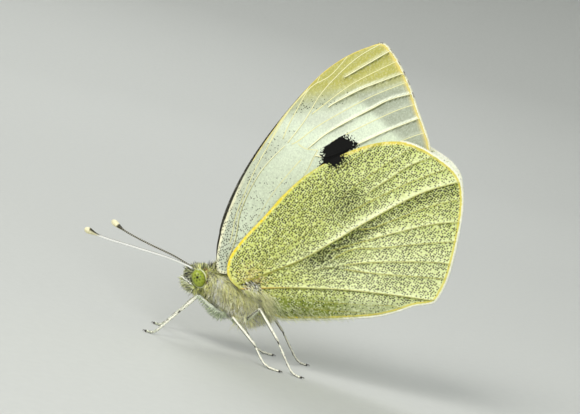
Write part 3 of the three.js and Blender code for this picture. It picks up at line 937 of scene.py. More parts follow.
def fringe(wing, spacing, length, width, tone_of):
    """Hairs that stand outwards in the plane of the wing along part of its rim."""
    facts = wing_facts[wing]
    rim, far = facts["rim"], travelled(facts["rim"])
    stops = np.arange(0, far[-1], spacing * MM / ROWS)
    places, ahead = (rows_at(stops + step * MM, far, rim) for step in (0, 0.3))
    run = unit(ahead - places)
    out = np.column_stack((run[:, 1], -run[:, 0]))
    out *= np.sign(((places - facts["heart"]) * out).sum(axis=1))[:, None]
    local = (places - facts["low"]) / MM
    keep = FRINGED[wing](*local.T) > 0.5
    places, out, run, local = places[keep], out[keep], run[keep], local[keep]
    tree, count = tree_of(sheets[wing]), len(places)
    roots = np.array([(tree.find_nearest(Vector((0.002, *place)))[0].x - 0.03 * MM, *place)
                      for place in places - out * 0.06 * MM])
    lean = chance.normal(0, 0.12, count)
    lie = np.column_stack((chance.normal(0, 0.1, count), out + run * lean[:, None]))
    tones = tone_of(*local.T, chance.random(count))
    lengths = length * chance.uniform(0.75, 1.12, count)
    patches = np.column_stack((0.02 + 0.95 * np.arange(count) / count, chance.uniform(0.1, 0.9, count)))
    return plant(wing + "_fringe_left", roots, lie, np.tile((1.0, 0, 0), (count, 1)), lengths,
                 np.full(count, width), np.zeros((count, 3)), tones, tones, patches)


def forewing_fringe_tone(y, z, luck):
    tones = layered((238, 238, 214), len(y), [((214, 208, 150), luck * 0.8)])
    for _, path in wing_facts["forewing"]["veins"][4:10]:
        end = (path[-1] - wing_facts["forewing"]["low"]) / MM
        near = np.hypot(y - end[0], z - end[1]) < 0.32
        tones[near & (luck < 0.75)] = colour(96, 78, 48)
    return tones


def hindwing_fringe_tone(y, z, luck):
    return layered((255, 255, 242), len(y), [((232, 232, 196), luck * 0.7)])


finish_pair(fringe("forewing", 0.06, 0.2, 0.07, forewing_fringe_tone), coat_look, "forewing")
finish_pair(fringe("hindwing", 0.05, 0.23, 0.075, hindwing_fringe_tone), coat_look, "hindwing")


# %% [markdown]
# ## Skin
# Head, thorax and abdomen are one animal, so they get one skin. Circles laid
# along the body are bridged into a loft, the palps and the hips are let into
# it, and a fine remesh melts them together. It is smaller than the solids by
# the depth of the fur that follows.
# %% Plan of the body
BODY_SECTIONS = [  # place along the body, height, half width, half height
    (-12.05, 7.45, 0.02, 0.02), (-11.75, 7.4, 0.48, 0.7), (-11.1, 7.25, 0.85, 1.35), (-10.3, 7.05, 1.12, 1.7),
    (-9.4, 7.1, 1.3, 1.8), (-8.6, 7.1, 1.75, 2.3), (-7.4, 6.52, 2.2, 2.83), (-5.6, 6.35, 2.4, 3.0),
    (-3.8, 6.27, 2.25, 2.88), (-2.3, 6.5, 1.85, 2.2), (-1.3, 6.7, 1.5, 1.65), (0.5, 7.05, 1.45, 1.5),
    (3.5, 7.75, 1.6, 1.6), (6.8, 8.75, 1.45, 1.45), (9.6, 9.75, 1.05, 1.1), (11.2, 10.35, 0.55, 0.6),
    (11.7, 10.55, 0.02, 0.02)]
COAT_DEPTH = (-12.1, -10, -8.6, -7, -3.5, -1, 6, 11.7), (0.2, 0.25, 0.35, 0.5, 0.5, 0.3, 0.2, 0.0)
PALP = [(0.75, -10.0, 5.8, 0.32), (0.7, -10.9, 5.98, 0.3), (0.62, -11.55, 6.3, 0.2), (0.57, -11.95, 6.62, 0.08)]
LEG_PLANS = {  # thigh, ankle and foot
    "fore": ([(0.7, -6.6, 4.8), (1.2, -7.1, 4.1), (2.0, -9.6, 5.4)], (2.6, -10.95, 3.4),
             [(2.9, -12.2, 1.7), (3.1, -13, 0.6), (3.2, -13.6, 0.22), (3.25, -14.2, 0.22)]),
    "mid": ([(0.9, -5.0, 4.6), (1.6, -4.9, 3.9), (2.8, -5.1, 4.2)], (3.6, -1.9, 2.1),
            [(4.0, -0.6, 0.8), (4.2, 0.2, 0.35), (4.4, 1.0, 0.22), (4.5, 1.7, 0.22)]),
    "hind": ([(1.0, -3.7, 5.0), (1.9, -3.6, 4.4), (3.1, -2.4, 6.0)], (3.7, 0.45, 3.3),
             [(4.05, 2.05, 1.45), (4.2, 2.9, 0.55), (4.3, 3.6, 0.22), (4.4, 4.2, 0.22)])}
RIGHT_STRIDE = {"fore": -0.4, "mid": -2.0, "hind": -0.4}
print(len(BODY_SECTIONS), "sections of the body")


def on_side(points, side, stride=0.0):
    """The left side's places, or the right side's, in metres and with any radii."""
    rows = np.array(points, float)
    rows[:, 0] *= side
    rows[:, 1] += stride * np.linspace(0, 1, len(rows)) if len(rows) > 1 else stride
    rows *= MM
    rows[:, :3] += DRAWING_ORIGIN
    return rows


# %% [markdown]
# The loft and the tubes of palps and hips are still separate shells. Remeshed
# in cubes of under a tenth of a millimetre they become one.
# %% One skin
loft = bmesh.new()
previous = None
for y, z, *half in BODY_SECTIONS:
    ring = bmesh.ops.create_circle(loft, segments=28, radius=1)["verts"]
    wide, high = (max(size - float(np.interp(y, *COAT_DEPTH)), 0.02) * MM for size in half)
    lying = Matrix.Diagonal((wide, 1, high, 1)) @ Matrix.Rotation(math.radians(90), 4, "X")
    bmesh.ops.transform(loft, matrix=Matrix.Translation(at(0, y, z)) @ lying, verts=ring)
    edges = list({edge for vert in ring for edge in vert.link_edges})
    if previous is None:
        bmesh.ops.edgeloop_fill(loft, edges=edges)
    else:
        bmesh.ops.bridge_loops(loft, edges=previous + edges)
    previous = edges
bmesh.ops.edgeloop_fill(loft, edges=previous)
limbs = []
for side, _ in SIDES:
    limbs.append(on_side(smooth_path(PALP, 6), side))
    for thigh, _, _ in LEG_PLANS.values():
        inner_end, outer_end = np.array(thigh[:2])
        hip = np.array([(*inner_end, 0.55), (*(inner_end * 0.3 + outer_end * 0.7), 0.42)])
        limbs.append(on_side(smooth_path(hip, 5), side))
loft.from_mesh(tubes("limbs", limbs))
bmesh.ops.recalc_face_normals(loft, faces=loft.faces)
holder = link("rough_skin", made(loft, "rough_skin"))
rounding = holder.modifiers.new("rounding", "SUBSURF")
rounding.levels = rounding.render_levels = 1
melting = holder.modifiers.new("melting", "REMESH")
melting.mode = "VOXEL"
melting.voxel_size = 0.09 * MM
evening = holder.modifiers.new("evening", "SMOOTH")
evening.iterations = 6
graph = bpy.context.evaluated_depsgraph_get()
skin_mesh = smooth(bpy.data.meshes.new_from_object(holder.evaluated_get(graph)))
skin_mesh.name = "body_skin"
bpy.data.objects.remove(holder)
print("skin", len(skin_mesh.polygons), "faces")

# %% [markdown]
# The skin is unwrapped by its own shape, so that every hair can find its place
# on the map. Blender's automatic unwrap does it well enough under fur.
# %% Skin map
holder = link("unwrap", skin_mesh)
skin_mesh.uv_layers.new(name="OFBake")
bpy.context.view_layer.objects.active = holder
holder.select_set(True)
bpy.ops.object.mode_set(mode="EDIT")
bpy.ops.mesh.select_all(action="SELECT")
bpy.ops.uv.smart_project(angle_limit=math.radians(66), island_margin=0.002)
bpy.ops.object.mode_set(mode="OBJECT")
bpy.data.objects.remove(holder)
print("the map has", len(skin_mesh.loops), "corners")

# %% [markdown]
# ## Markings of the coat
# Skin and hair must agree, so both ask the same rule for their colours: olive
# on the face, a pale collar, grey over the back, yellowish sides that turn
# whitish below, and a cream abdomen. Low on the body the tones are lifted
# further, as painted light against the shade beneath the body. The rule gives a
# dark, a middle and a light tone, and each hair picks one by chance.
# %% Coat colours
SIDE_TONES = [  # place along the body, then its dark, middle and light tone
    (-12.4, (44, 50, 22), (104, 116, 58), (200, 208, 150)), (-10.6, (40, 46, 18), (98, 110, 48), (190, 198, 134)),
    (-9.6, (44, 48, 16), (108, 116, 60), (186, 192, 132)), (-9.0, (92, 94, 54), (150, 154, 102), (206, 208, 162)),
    (-8.2, (132, 134, 84), (212, 214, 162), (244, 246, 214)), (-6.6, (146, 142, 80), (210, 204, 138), (238, 232, 172)),
    (-4.5, (128, 126, 68), (202, 198, 130), (236, 232, 174)), (-2.6, (100, 102, 62), (184, 186, 136), (236, 238, 202)),
    (-0.5, (120, 122, 84), (188, 192, 146), (232, 234, 204)), (4, (150, 152, 108), (206, 208, 164), (240, 240, 216)),
    (11, (140, 142, 96), (200, 202, 156), (236, 236, 210))]
TOP_TONES = (58, 62, 34), (124, 130, 84), (190, 194, 148)
LOW_TONES = (138, 140, 90), (198, 200, 152), (240, 240, 218)
PALP_TONES = (70, 76, 44), (150, 160, 112), (206, 212, 176)
LIFTS = 1.5, 2.3, 2.6  # tones are lighter than they look, because hair shades hair


def on_palp(spots):
    return (spots[:, 1] < -10.4) & (spots[:, 2] < 6.35 - 0.5 * (spots[:, 1] + 11))


def coat_tones(spots, normals):
    """Dark, middle and light colours for places in the drawing's millimetres."""
    y, up, stations = spots[:, 1], normals[:, 2], [row[0] for row in SIDE_TONES]
    back = ramp(up, 0.35, 0.8) * ramp(y, -9.2, -8.2) * (1 - 0.6 * ramp(y, 0, 6))
    belly = ramp(-up, 0.25, 1.0) * ramp(y, -9.5, -8.5)
    palp = on_palp(spots) * fade(y, -10.6, -10.2)
    # painted light: the lower body is made lighter still, against the shade beneath it
    low = (fade(spots[:, 2], 4.8, 7.2) * ramp(y, -9.6, -8.6))[:, None]
    tones = []
    for step, lift in enumerate(LIFTS):
        base = rows_at(y, stations, [colour(*row[step + 1]) for row in SIDE_TONES])
        for layer, share in ((TOP_TONES, back * 0.8), (LOW_TONES, belly * 0.8), (PALP_TONES, palp)):
            base = blend(base, colour(*layer[step]), share)
        base = base * (1 + low * (0.55, 0.52, 0.32, 0)) * (lift, lift * 0.95, lift * 0.55, 1)
        tones.append(np.minimum(base, (0.95, 0.95, 0.95, 1)))
    return tones


def drawn(spots):
    """Places in metres, in the drawing's millimetres."""
    return (spots - np.array(DRAWING_ORIGIN)) / MM


dark, middle, light = coat_tones(drawn(corners_of(skin_mesh)), read(skin_mesh.vertices, "normal", 3))
note(skin_mesh, coat=dark * 0.3 + middle * 0.7)
finish_piece(skin_mesh, coat_look, "body_hair", "head", "thorax", "abdomen", "palp_left", "palp_right")


# %% [markdown]
# ## The fur
# Roots are scattered evenly over the skin's faces. Which way a hair lies
# depends on where it grows: forward on the face, up on the crown, straight down
# in the collar, down and back over the flanks, and flat along the abdomen.
# %% Roots and lie
def scatter(mesh, count, seed, keep):
    """Places, normals and map places of roots spread evenly over a mesh."""
    luck = np.random.default_rng(seed)
    mesh.calc_loop_triangles()
    faces = read(mesh.loop_triangles, "loops", 3, int)
    layer = read(mesh.uv_layers["OFBake"].data, "uv", 2)
    spots = corners_of(mesh)[read(mesh.loops, "vertex_index", kind=int)[faces]]
    cross = np.cross(spots[:, 1] - spots[:, 0], spots[:, 2] - spots[:, 0])
    normals = unit(cross)
    weight = np.linalg.norm(cross, axis=1) * keep(drawn(spots.mean(axis=1)), normals)
    chosen = luck.choice(len(faces), count, p=weight / weight.sum())
    shares = luck.dirichlet((1, 1, 1), count)[:, :, None]
    return luck, (spots[chosen] * shares).sum(axis=1), normals[chosen], (layer[faces[chosen]] * shares).sum(axis=1)


LIE = [  # place along the body, lie of the hair on the flank, lie on top
    (-12.2, (0, -1, -0.5), (0, -1, 0.3)), (-11, (0, -0.7, -0.6), (0, -0.6, 0.9)), (-10.2, (0, -0.1, -0.9), (0, 0.1, 1)),
    (-9.4, (0, 0.2, -1), (0, 0.4, 1)), (-8.6, (0, 0.1, -1), (0, 0.5, 0.8)), (-7.5, (0, 0.35, -1), (0, 0.9, 0.5)),
    (-5.5, (0, 0.6, -0.9), (0, 1, 0.3)), (-3.5, (0.15, 0.9, -0.7), (0, 1, 0.2)), (-1.5, (0.3, 1, -0.4), (0, 1, 0.2)),
    (2, (0, 1, 0.1), (0, 1, 0.2)), (11, (0, 1, 0.3), (0, 1, 0.3))]


def from_eye(spots, size):
    """Arms from the nearer eye, and how far they reach past a ball of that size."""
    arm = spots - EYE * np.column_stack((np.sign(spots[:, 0]), np.ones((len(spots), 2))))
    return arm, np.linalg.norm(arm / np.array(size), axis=1)


def lie_of_coat(spots, normals):
    """The way the hair lies at places in the drawing's millimetres."""
    stations = [row[0] for row in LIE]
    flank, top = (rows_at(spots[:, 1], stations, [row[part] for row in LIE]) for part in (1, 2))
    outward = np.sign(spots[:, 0])
    flank[:, 0] *= outward
    lie = blend(flank, top, ramp(normals[:, 2], 0.2, 0.75))
    palp_lie = blend(np.array([(0.0, -1.0, 0.3)]), np.array((0.0, -0.7, -0.75)), ramp(-normals[:, 2], -0.1, 0.5))
    lie = blend(lie, palp_lie, 0.85 * on_palp(spots))
    lie[:, 0] += outward * 0.12
    arm, far = from_eye(spots, (0.8, 0.9, 1.12))
    return unit(lie) + unit(arm) * (np.exp(-(far - 1).clip(0) * 2.2) * 1.6)[:, None]  # hair parts round the eye


def off_eye(spots, far=1.0):
    return from_eye(spots, (0.85, 0.93, 1.14))[1] > far


def clear_of_thigh(spots):
    """Hair is short on the breast and where it would hang over the front thighs."""
    line = np.array([(-9.6, 5.4), (-8.2, 4.7), (-7.0, 4.2)])
    far, above = nearest_run(spots[:, 1:] * MM, line * MM)
    trimmed = 1 - 0.65 * (above > 0) * fade(far, 0.7, 1.5) * (np.abs(spots[:, 0]) > 0.5)
    return trimmed * (1 - 0.5 * fade(spots[:, 2], 4.0, 5.4) * fade(spots[:, 1], -5.5, -4.5))


print("the hair on the crown lies", lie_of_coat(np.array([(0.5, -9.4, 8.9)]), np.array([(0, 0, 1.0)]))[0].round(2))


# %% [markdown]
# Soft fur grows in tufts: hairs near one another lean to one tip. Each part of
# the body has its own number, length, thickness and lift of hair.
# %% Fur
def between(first, last, also=lambda spots, normals: 1):
    """Where hair grows: a stretch of the body without the eyes, and a further rule."""
    def keep(spots, normals):
        inside = (spots[:, 1] > first) & (spots[:, 1] < last) & off_eye(spots)
        return inside * also(spots, normals)
    return keep


def fur(name, count, seed, keep, stations, lengths, width, lift, gather=0.55, curl=0.25, tufts=9):
    luck, roots, normals, patches = scatter(skin_mesh, count, seed, keep)
    spots = drawn(roots)
    lie = unit(lie_of_coat(spots, normals))
    flat = unit(lie - normals * (lie * normals).sum(axis=1)[:, None])
    raise_by = luck.uniform(*lift, count)[:, None]
    way = unit(flat * (1 - raise_by) + normals * raise_by + luck.normal(0, 0.14, (count, 3)))
    lengths = np.interp(spots[:, 1], stations, lengths) * luck.uniform(0.6, 1.25, count) * clear_of_thigh(spots)
    heads = KDTree(count // tufts)
    for index in range(count // tufts):
        heads.insert(roots[index], index)
    heads.balance()
    head = np.array([heads.find(root)[1] for root in roots])
    tip = roots[head] + way[head] * lengths[head][:, None] * MM
    way = unit(way + gather * unit(tip - roots) * (head != np.arange(count))[:, None])
    dark, middle, light = coat_tones(spots, normals)
    pick = (0.55 * luck.random(count)[head] + 0.45 * luck.random(count))[:, None]
    tones = np.where(pick < 0.3, dark, np.where(pick < 0.56, middle, light))
    tips = blend(tones, colour(250, 246, 206), luck.uniform(0.0, 0.4, count))
    curls = (flat * curl - normals * curl * 0.5) + luck.normal(0, 0.05, (count, 3))
    mesh = plant(name, roots - normals * 0.02 * MM, way, normals, lengths,
                 width * luck.uniform(0.7, 1.3, count), curls, tones, tips, patches)
    finish_piece(mesh, coat_look, "body_hair")


ON_PALPS = lambda spots, normals: on_palp(spots)
FACE = between(-12.6, -9.3, lambda spots, normals: ~on_palp(spots))
fur("head_fur", 3600, 21, FACE, (-12, -11, -9.6), (0.35, 0.42, 0.6), 0.055, (0.2, 0.55))
fur("palp_fur", 1700, 26, ON_PALPS, (0,), (0.62,), 0.05, (0.12, 0.4), gather=0.2)
fur("collar_fur", 5200, 22, between(-9.6, -7.6), (0,), (1.2,), 0.07, (0.12, 0.4))
fur("flank_fur", 10500, 23, between(-8.2, -4.8), (0,), (1.2,), 0.08, (0.1, 0.36))
fur("rear_fur", 8000, 24, between(-5.2, -1.4), (0,), (1.35,), 0.08, (0.1, 0.36))
fur("abdomen_fur", 9000, 25, between(-2.0, 11.6), (-2, 2, 8, 11.5), (1.1, 0.7, 0.5, 0.4), 0.07, (0.06, 0.22))


# %% [markdown]
# Stiff bristles, some black and some white, stick out through the soft fur of
# the face, the palps and the crown.
# %% Bristles
def bristles(name, count, seed, keep, length, dark_share, pale, width, stand=0.7, wave=0.08):
    luck, roots, normals, patches = scatter(skin_mesh, count, seed, keep)
    way = unit(unit(lie_of_coat(drawn(roots), normals)) * 0.6 + normals * stand + luck.normal(0, 0.2, (count, 3)))
    tone = np.where(luck.random(count)[:, None] < dark_share, colour(20, 20, 10), colour(*pale))
    lengths = length * luck.uniform(0.6, 1.2, count) * clear_of_thigh(drawn(roots))
    mesh = plant(name, roots, way, normals, lengths, width * luck.uniform(0.8, 1.3, count),
                 luck.normal(0, wave, (count, 3)), tone, tone, patches)
    finish_piece(mesh, coat_look, "body_hair")


CROWN = between(-11.2, -9.0, lambda spots, normals: normals[:, 2] > 0)
NECK = between(-9.6, -8.0, lambda spots, normals: spots[:, 2] > 6.3)
ARMPIT = between(-4.4, -1.4, lambda spots, normals: (np.abs(normals[:, 0]) > 0.4) * (spots[:, 2] < 8.2))
BROW = between(-10.0, -9.0, lambda spots, normals: ~off_eye(spots, 1.3) * (spots[:, 2] > 6.9))
BELLY = between(-8.2, -1.8, lambda spots, normals: ramp(-normals[:, 2], 0.0, 0.7))
bristles("face_bristles", 300, 41, between(-12.6, -10.9), 0.6, 0.6, (240, 242, 206), 0.07)
bristles("palp_bristles", 260, 44, ON_PALPS, 0.85, 0.35, (246, 250, 226), 0.07)
bristles("crown_bristles", 260, 42, CROWN, 0.55, 0.7, (232, 234, 190), 0.06)
bristles("collar_bristles", 220, 45, NECK, 0.8, 0.7, (252, 250, 232), 0.07)
bristles("flank_bristles", 1500, 43, between(-9.2, -1.5), 1.15, 0.22, (250, 244, 190), 0.075, 0.3, 0.2)
bristles("axil_hair", 1300, 47, ARMPIT, 1.7, 0.06, (236, 236, 184), 0.045)
bristles("eye_lashes", 150, 48, BROW, 0.3, 0.2, (176, 128, 60), 0.05)
bristles("belly_hair", 2300, 46, BELLY, 1.15, 0.04, (255, 255, 244), 0.06)


# %% [markdown]
# Long pale hair also grows on the root of each hindwing and along its lower
# edge, where it hides the gap to the body and shields the abdomen.
# %% Hair on the wing roots
def wing_hair(name, count, seed, keep, length, lie, tones, width):
    def outer(spots, normals):
        local = spots - (np.array((0, *wing_facts["hindwing"]["low"])) - np.array(DRAWING_ORIGIN)) / MM
        return (normals[:, 0] > 0.3) * keep(local[:, 1], local[:, 2])

    luck, roots, normals, patches = scatter(sheets["hindwing"], count, seed, outer)
    lies = unit(np.array(lie) + luck.normal(0, 0.16, (count, 3)))
    pick = luck.random(count)[:, None]
    first, second, third = (colour(*tone) for tone in tones)
    tone = np.where(pick < 0.3, first, np.where(pick < 0.65, second, third))
    mesh = plant(name, roots, lies, normals, length * luck.uniform(0.5, 1.2, count),
                 width * luck.uniform(0.7, 1.3, count),
                 np.array((-0.12, 0.12, -0.1)) + luck.normal(0, 0.06, (count, 3)), tone, tone, patches)
    finish_pair(mesh, coat_look, "hindwing")


wing_hair("root_hair_left", 620, 31, lambda y, z: patch(y, z, (3.9, 1.3), 1.1, 0.7), 1.2,
          (0.16, 0.75, -0.7), [(190, 190, 112), (230, 232, 160), (252, 250, 206)], 0.05)
wing_hair("gold_hair_left", 170, 32, lambda y, z: patch(y, z, (3.2, 3.8), 1.2, 1.0), 0.45,
          (0.2, 0.9, 0.1), [(206, 166, 40), (226, 206, 84), (248, 244, 176)], 0.06)
wing_hair("hinge_hair_left", 150, 34, lambda y, z: patch(y, z, (3.4, 2.8), 0.7, 0.35), 0.5,
          (0.5, 0.6, -0.3), [(14, 12, 4), (250, 246, 200), (255, 255, 240)], 0.12)
wing_hair("anal_hair_left", 480, 33, lambda y, z: ramp(y, 3.5, 6) * fade(y, 9, 19) * fade(z - 0.1 * y, 0.1, 1.8),
          0.8, (0.1, 0.86, -0.42), [(140, 150, 72), (184, 192, 116), (232, 238, 186)], 0.036)


# %% [markdown]
# ## Eyes
# A compound eye is thousands of lenses. Seen whole it is glossy, with dark
# spots in a six-sided pattern where the lenses look straight back at the
# viewer, and a paler rim of scales behind it. Those spots are a view effect,
# here painted fixed on the side that faces the camera, and the eye is painted
# darker towards its edge away from that side.
# %% Eyes
EYE_LEAN = math.radians(31)
DOT_SPACING = 0.44  # of the eye's radius


def eye_mesh(side, word):
    work = bmesh.new()
    bmesh.ops.create_icosphere(work, subdivisions=6, radius=1)
    ball = np.array([vert.co for vert in work.verts])
    shape = Matrix.Rotation(EYE_LEAN, 4, "X") @ Matrix.Diagonal((0.72 * MM, 0.77 * MM, 1.03 * MM, 1))
    place = Matrix.Translation(at(side * EYE[0], *EYE[1:])) @ shape
    bmesh.ops.transform(work, matrix=place, verts=work.verts)
    look = unit(np.array([(side * 0.985, 0.02, 0.17)]))
    ahead = unit(np.cross(look, (0, 0, 1)))
    along, up, facing = (ball @ axis[0] for axis in (ahead, np.cross(ahead, look), look))
    dots = np.zeros(len(ball))
    for row in range(-3, 4):
        for column in range(-3, 4):
            here = np.array((column + row * 0.5, row * 0.87)) * DOT_SPACING
            far = np.hypot(*here)
            if far < 0.95:
                size, depth = (0.2, 1.4) if far < 0.1 else (0.13, 1.25 * (1.1 - far))
                dots += depth * np.exp(-((along - here[0]) ** 2 + (up * 1.2 - here[1]) ** 2) / size ** 2)
    mesh = made(work, "compound_eye_" + word)
    # dots: painted pseudopupil, fixed on the side facing the camera; edge: darker away from that side
    note(mesh, dots=np.where(facing > 0, dots, 0), edge=(1 - np.clip(facing, 0, 1)) ** 3)
    return mesh


look = Finish("compound eye", 0.3, Coat_Weight=0.25, Coat_Roughness=0.06, Specular_IOR_Level=0.2)
base = look.mix(look.noise(2500.0), (134, 152, 34), (178, 190, 82))
for field, tone in (("edge", (88, 96, 36)), ("dots", (8, 10, 2))):
    share = look.add("Clamp", {0: look.noted(field)}).outputs[0]
    base = look.mix(share, base, tone)
eye_look = look.done(base, look.cells(26000.0, 0.25)["Distance"], 0.25, 0.01)
for side, word in SIDES:
    finish_piece(eye_mesh(side, word), eye_look, "eye", "eye_" + word)


# %% [markdown]
# A ring of short pale scales frames each eye and closes the gap to the fur. It
# is rusty at its upper rear. Rims, feelers, palp tips and legs are all covered
# in small flakes, so they share a way to vary two tones flake by flake.
# %% Eye rims
def flaked(look, scale):
    """A chance number for each flake, and the relief that the flakes give."""
    flakes = look.cells(scale)
    return look.parts(flakes["Color"])[0], flakes["Distance"]


look = Finish("eye rim", 0.7)
tone, relief = flaked(look, 14000.0)
pale, rusty = (look.mix(tone, first, second) for first, second in (
    ((176, 180, 132), (240, 242, 210)), ((176, 112, 34), (222, 170, 84))))
rim_look = look.done(look.mix(look.noted("rust"), pale, rusty), relief, 0.6, 0.03)
RIM_RADII, RIM_X = (0.8, 1.06), 0.93
angles = np.linspace(0, math.tau, 61)
wide, high = RIM_RADII[0] * np.cos(angles), RIM_RADII[1] * np.sin(angles)
ring = np.column_stack((np.full(61, RIM_X), EYE[1] + wide * math.cos(EYE_LEAN) - high * math.sin(EYE_LEAN),
                        EYE[2] + wide * math.sin(EYE_LEAN) + high * math.cos(EYE_LEAN),
                        0.065 + 0.065 * np.cos(angles + 0.6)))
for side, word in SIDES:
    mesh = tubes("eye_rim_" + word, [on_side(ring, side)])
    _, y, z = (drawn(corners_of(mesh)) - np.array((side * RIM_X, *EYE[1:]))).T
    outer = ramp(np.hypot(y / RIM_RADII[0], z / RIM_RADII[1]), 1.0, 1.1)
    note(mesh, rust=0.8 * outer * ramp(y, 0.1, 0.35) * ramp(z, -0.1, 0.25))
    finish_piece(mesh, rim_look, "body_hair")

# %% [markdown]
# ## Feelers
# A feeler is a chain of rings that ends in a club. Each ring swells a little,
# so the radius along the path goes up and down once in every ring. The outer
# side is white with dark joints and the back is dark.
# %% Feelers
FEELER = [(0.42, -11.1, 7.9), (0.78, -12.0, 8.2), (2.1, -14.3, 8.64), (3.9, -17.7, 8.98), (5.9, -20.9, 9.34),
          (7.1, -22.9, 9.85)]
DROOP = [(0, 0, 0), (0, 0, -0.1), (0, 0, -0.16), (0, 0, -0.2), (0, -0.1, -0.16), (0, -0.3, 0)]  # of the right one
STRETCH = {1: 1.0, -1: 1.25}  # the right one's club is longer
RING = 0.3
FROM_TIP = (0, 0.05, 0.1, 0.2, 0.35, 0.5, 0.7, 0.9, 1.1, 1.3, 1.5, 1.8, 2.1)
CLUB_RADIUS = (0.08, 0.16, 0.22, 0.29, 0.335, 0.345, 0.32, 0.27, 0.22, 0.18, 0.15, 0.125, 0.112)


def feeler_mesh(side, word):
    path = on_side(smooth_path(np.array(FEELER) + np.array(DROOP) * (side < 0), 60), side)
    steps = travelled(path) / MM
    places = np.arange(0, steps[-1], RING / 6)
    path = rows_at(places, steps, path)
    left = (places[-1] - places) / STRETCH[side]
    radius = np.interp(left, FROM_TIP, CLUB_RADIUS) + 0.02 * fade(places / places[-1], 0, 0.1)
    radius = radius * (1 + 0.08 * np.abs(np.sin(places / RING * math.pi)))
    mesh = tubes("feeler_" + word, [np.column_stack((path, radius * MM))], 4)
    normals = read(mesh.vertices, "normal", 3)
    left = (places[-1] - read(mesh.attributes["along"].data, "value")) / STRETCH[side]
    stripe = (side > 0) * ramp(normals[:, 2], 0.1, 0.35) * ramp(left, 0.35, 0.5)
    cap = fade(left, 0.85, 1.05) * (1 - stripe)
    outer = ramp(normals @ np.array((side * 0.8, 0, -0.9)), -0.1, 0.15)
    note(mesh, pale=np.maximum(outer * (1 - stripe * (left < 1.9)), cap), club=fade(left, 1.3, 1.9))
    return mesh


look = Finish("feeler scales", 0.5)
pale, grain = look.noted("pale"), look.cells(16000.0)["Distance"]
joint = look.calc("GREATER_THAN", look.calc("FRACT", look.calc("DIVIDE", look.noted("along"), RING)), 0.72)
white = look.mix(grain, (255, 255, 255), (250, 249, 240))
outer = look.mix(look.calc("MULTIPLY", joint, 0.12), white, (110, 104, 76))
inner = look.mix(look.calc("MULTIPLY", joint, 0.8), (46, 42, 30), (224, 220, 196))
cream = look.mix(grain, (244, 238, 204), (222, 214, 168))
tip = look.mix(pale, (52, 48, 28), cream)
feeler_look = look.done(look.mix(look.noted("club"), look.mix(pale, inner, outer), tip), grain, 0.4, 0.02)
for side, word in SIDES:
    finish_piece(feeler_mesh(side, word), feeler_look, "feeler", "antenna_" + word)

# %% [markdown]
# ## Tongue
# At rest the tongue is a watch spring between the palps, so it is a tube whose
# path winds inwards.
# %% Coiled tongue
turns = np.linspace(0, 2.6 * math.tau, 110)
coil_radius = np.interp(turns, (0, turns[-1]), (0.42, 0.1))
coil = np.column_stack((0.05 * np.sin(turns * 0.5), -10.8 + coil_radius * np.cos(turns + 1.2),
                        5.75 + coil_radius * np.sin(turns + 1.2), np.interp(turns, (0, turns[-1]), (0.075, 0.045))))
look = Finish("tongue", 0.35)
rings = look.calc("SINE", look.calc("MULTIPLY", look.noted("along"), 90.0))
base = look.mix(look.calc("MULTIPLY_ADD", rings, 0.4, 0.5), (92, 64, 34), (58, 40, 22))
finish_piece(tubes("coiled_tongue", [on_side(coil, 1)], 3), look.done(base, rings, 0.4, 0.01), "tongue", "proboscis")

# %% [markdown]
# The last joint of each palp is a bare slender peg that stands out of the hair.
# %% Palp tips
PEG = [(1.02, -10.85, 6.3), (0.92, -11.5, 6.55), (0.72, -12.3, 6.8)]
look = Finish("palp scales", 0.6)
tone, relief = flaked(look, 12000.0)
base = look.mix(tone, (255, 255, 246), (214, 216, 200))
base = look.mix(look.calc("LESS_THAN", tone, 0.25), base, (60, 58, 44))
peg_look = look.done(base, relief, 0.5, 0.02)
peg = smooth_path(PEG, 8)
swell = 0.03 * np.sin(np.linspace(0.3, math.pi, len(peg))) - 0.05 * ramp(np.linspace(0, 1, len(peg)), 0.8, 1)
for side, word in SIDES:
    mesh = tubes("palp_tip_" + word, [on_side(np.column_stack((peg, 0.11 + swell)), side)])
    finish_piece(mesh, peg_look, "body_hair")

# %% [markdown]
# ## Legs
# A leg is a spindle-shaped thigh, a thin shin with two spurs, and a foot of
# five short pieces with a pair of claws. They are tubes whose radius says
# which piece is which; all five foot pieces lie down on the floor.
# %% Paths of the legs
TOE_JOINTS = np.array((0, 0.44, 0.62, 0.76, 0.88, 1.001))  # shares of the foot's length
LOWEST = 0.14  # mm from the floor to the middle of a toe


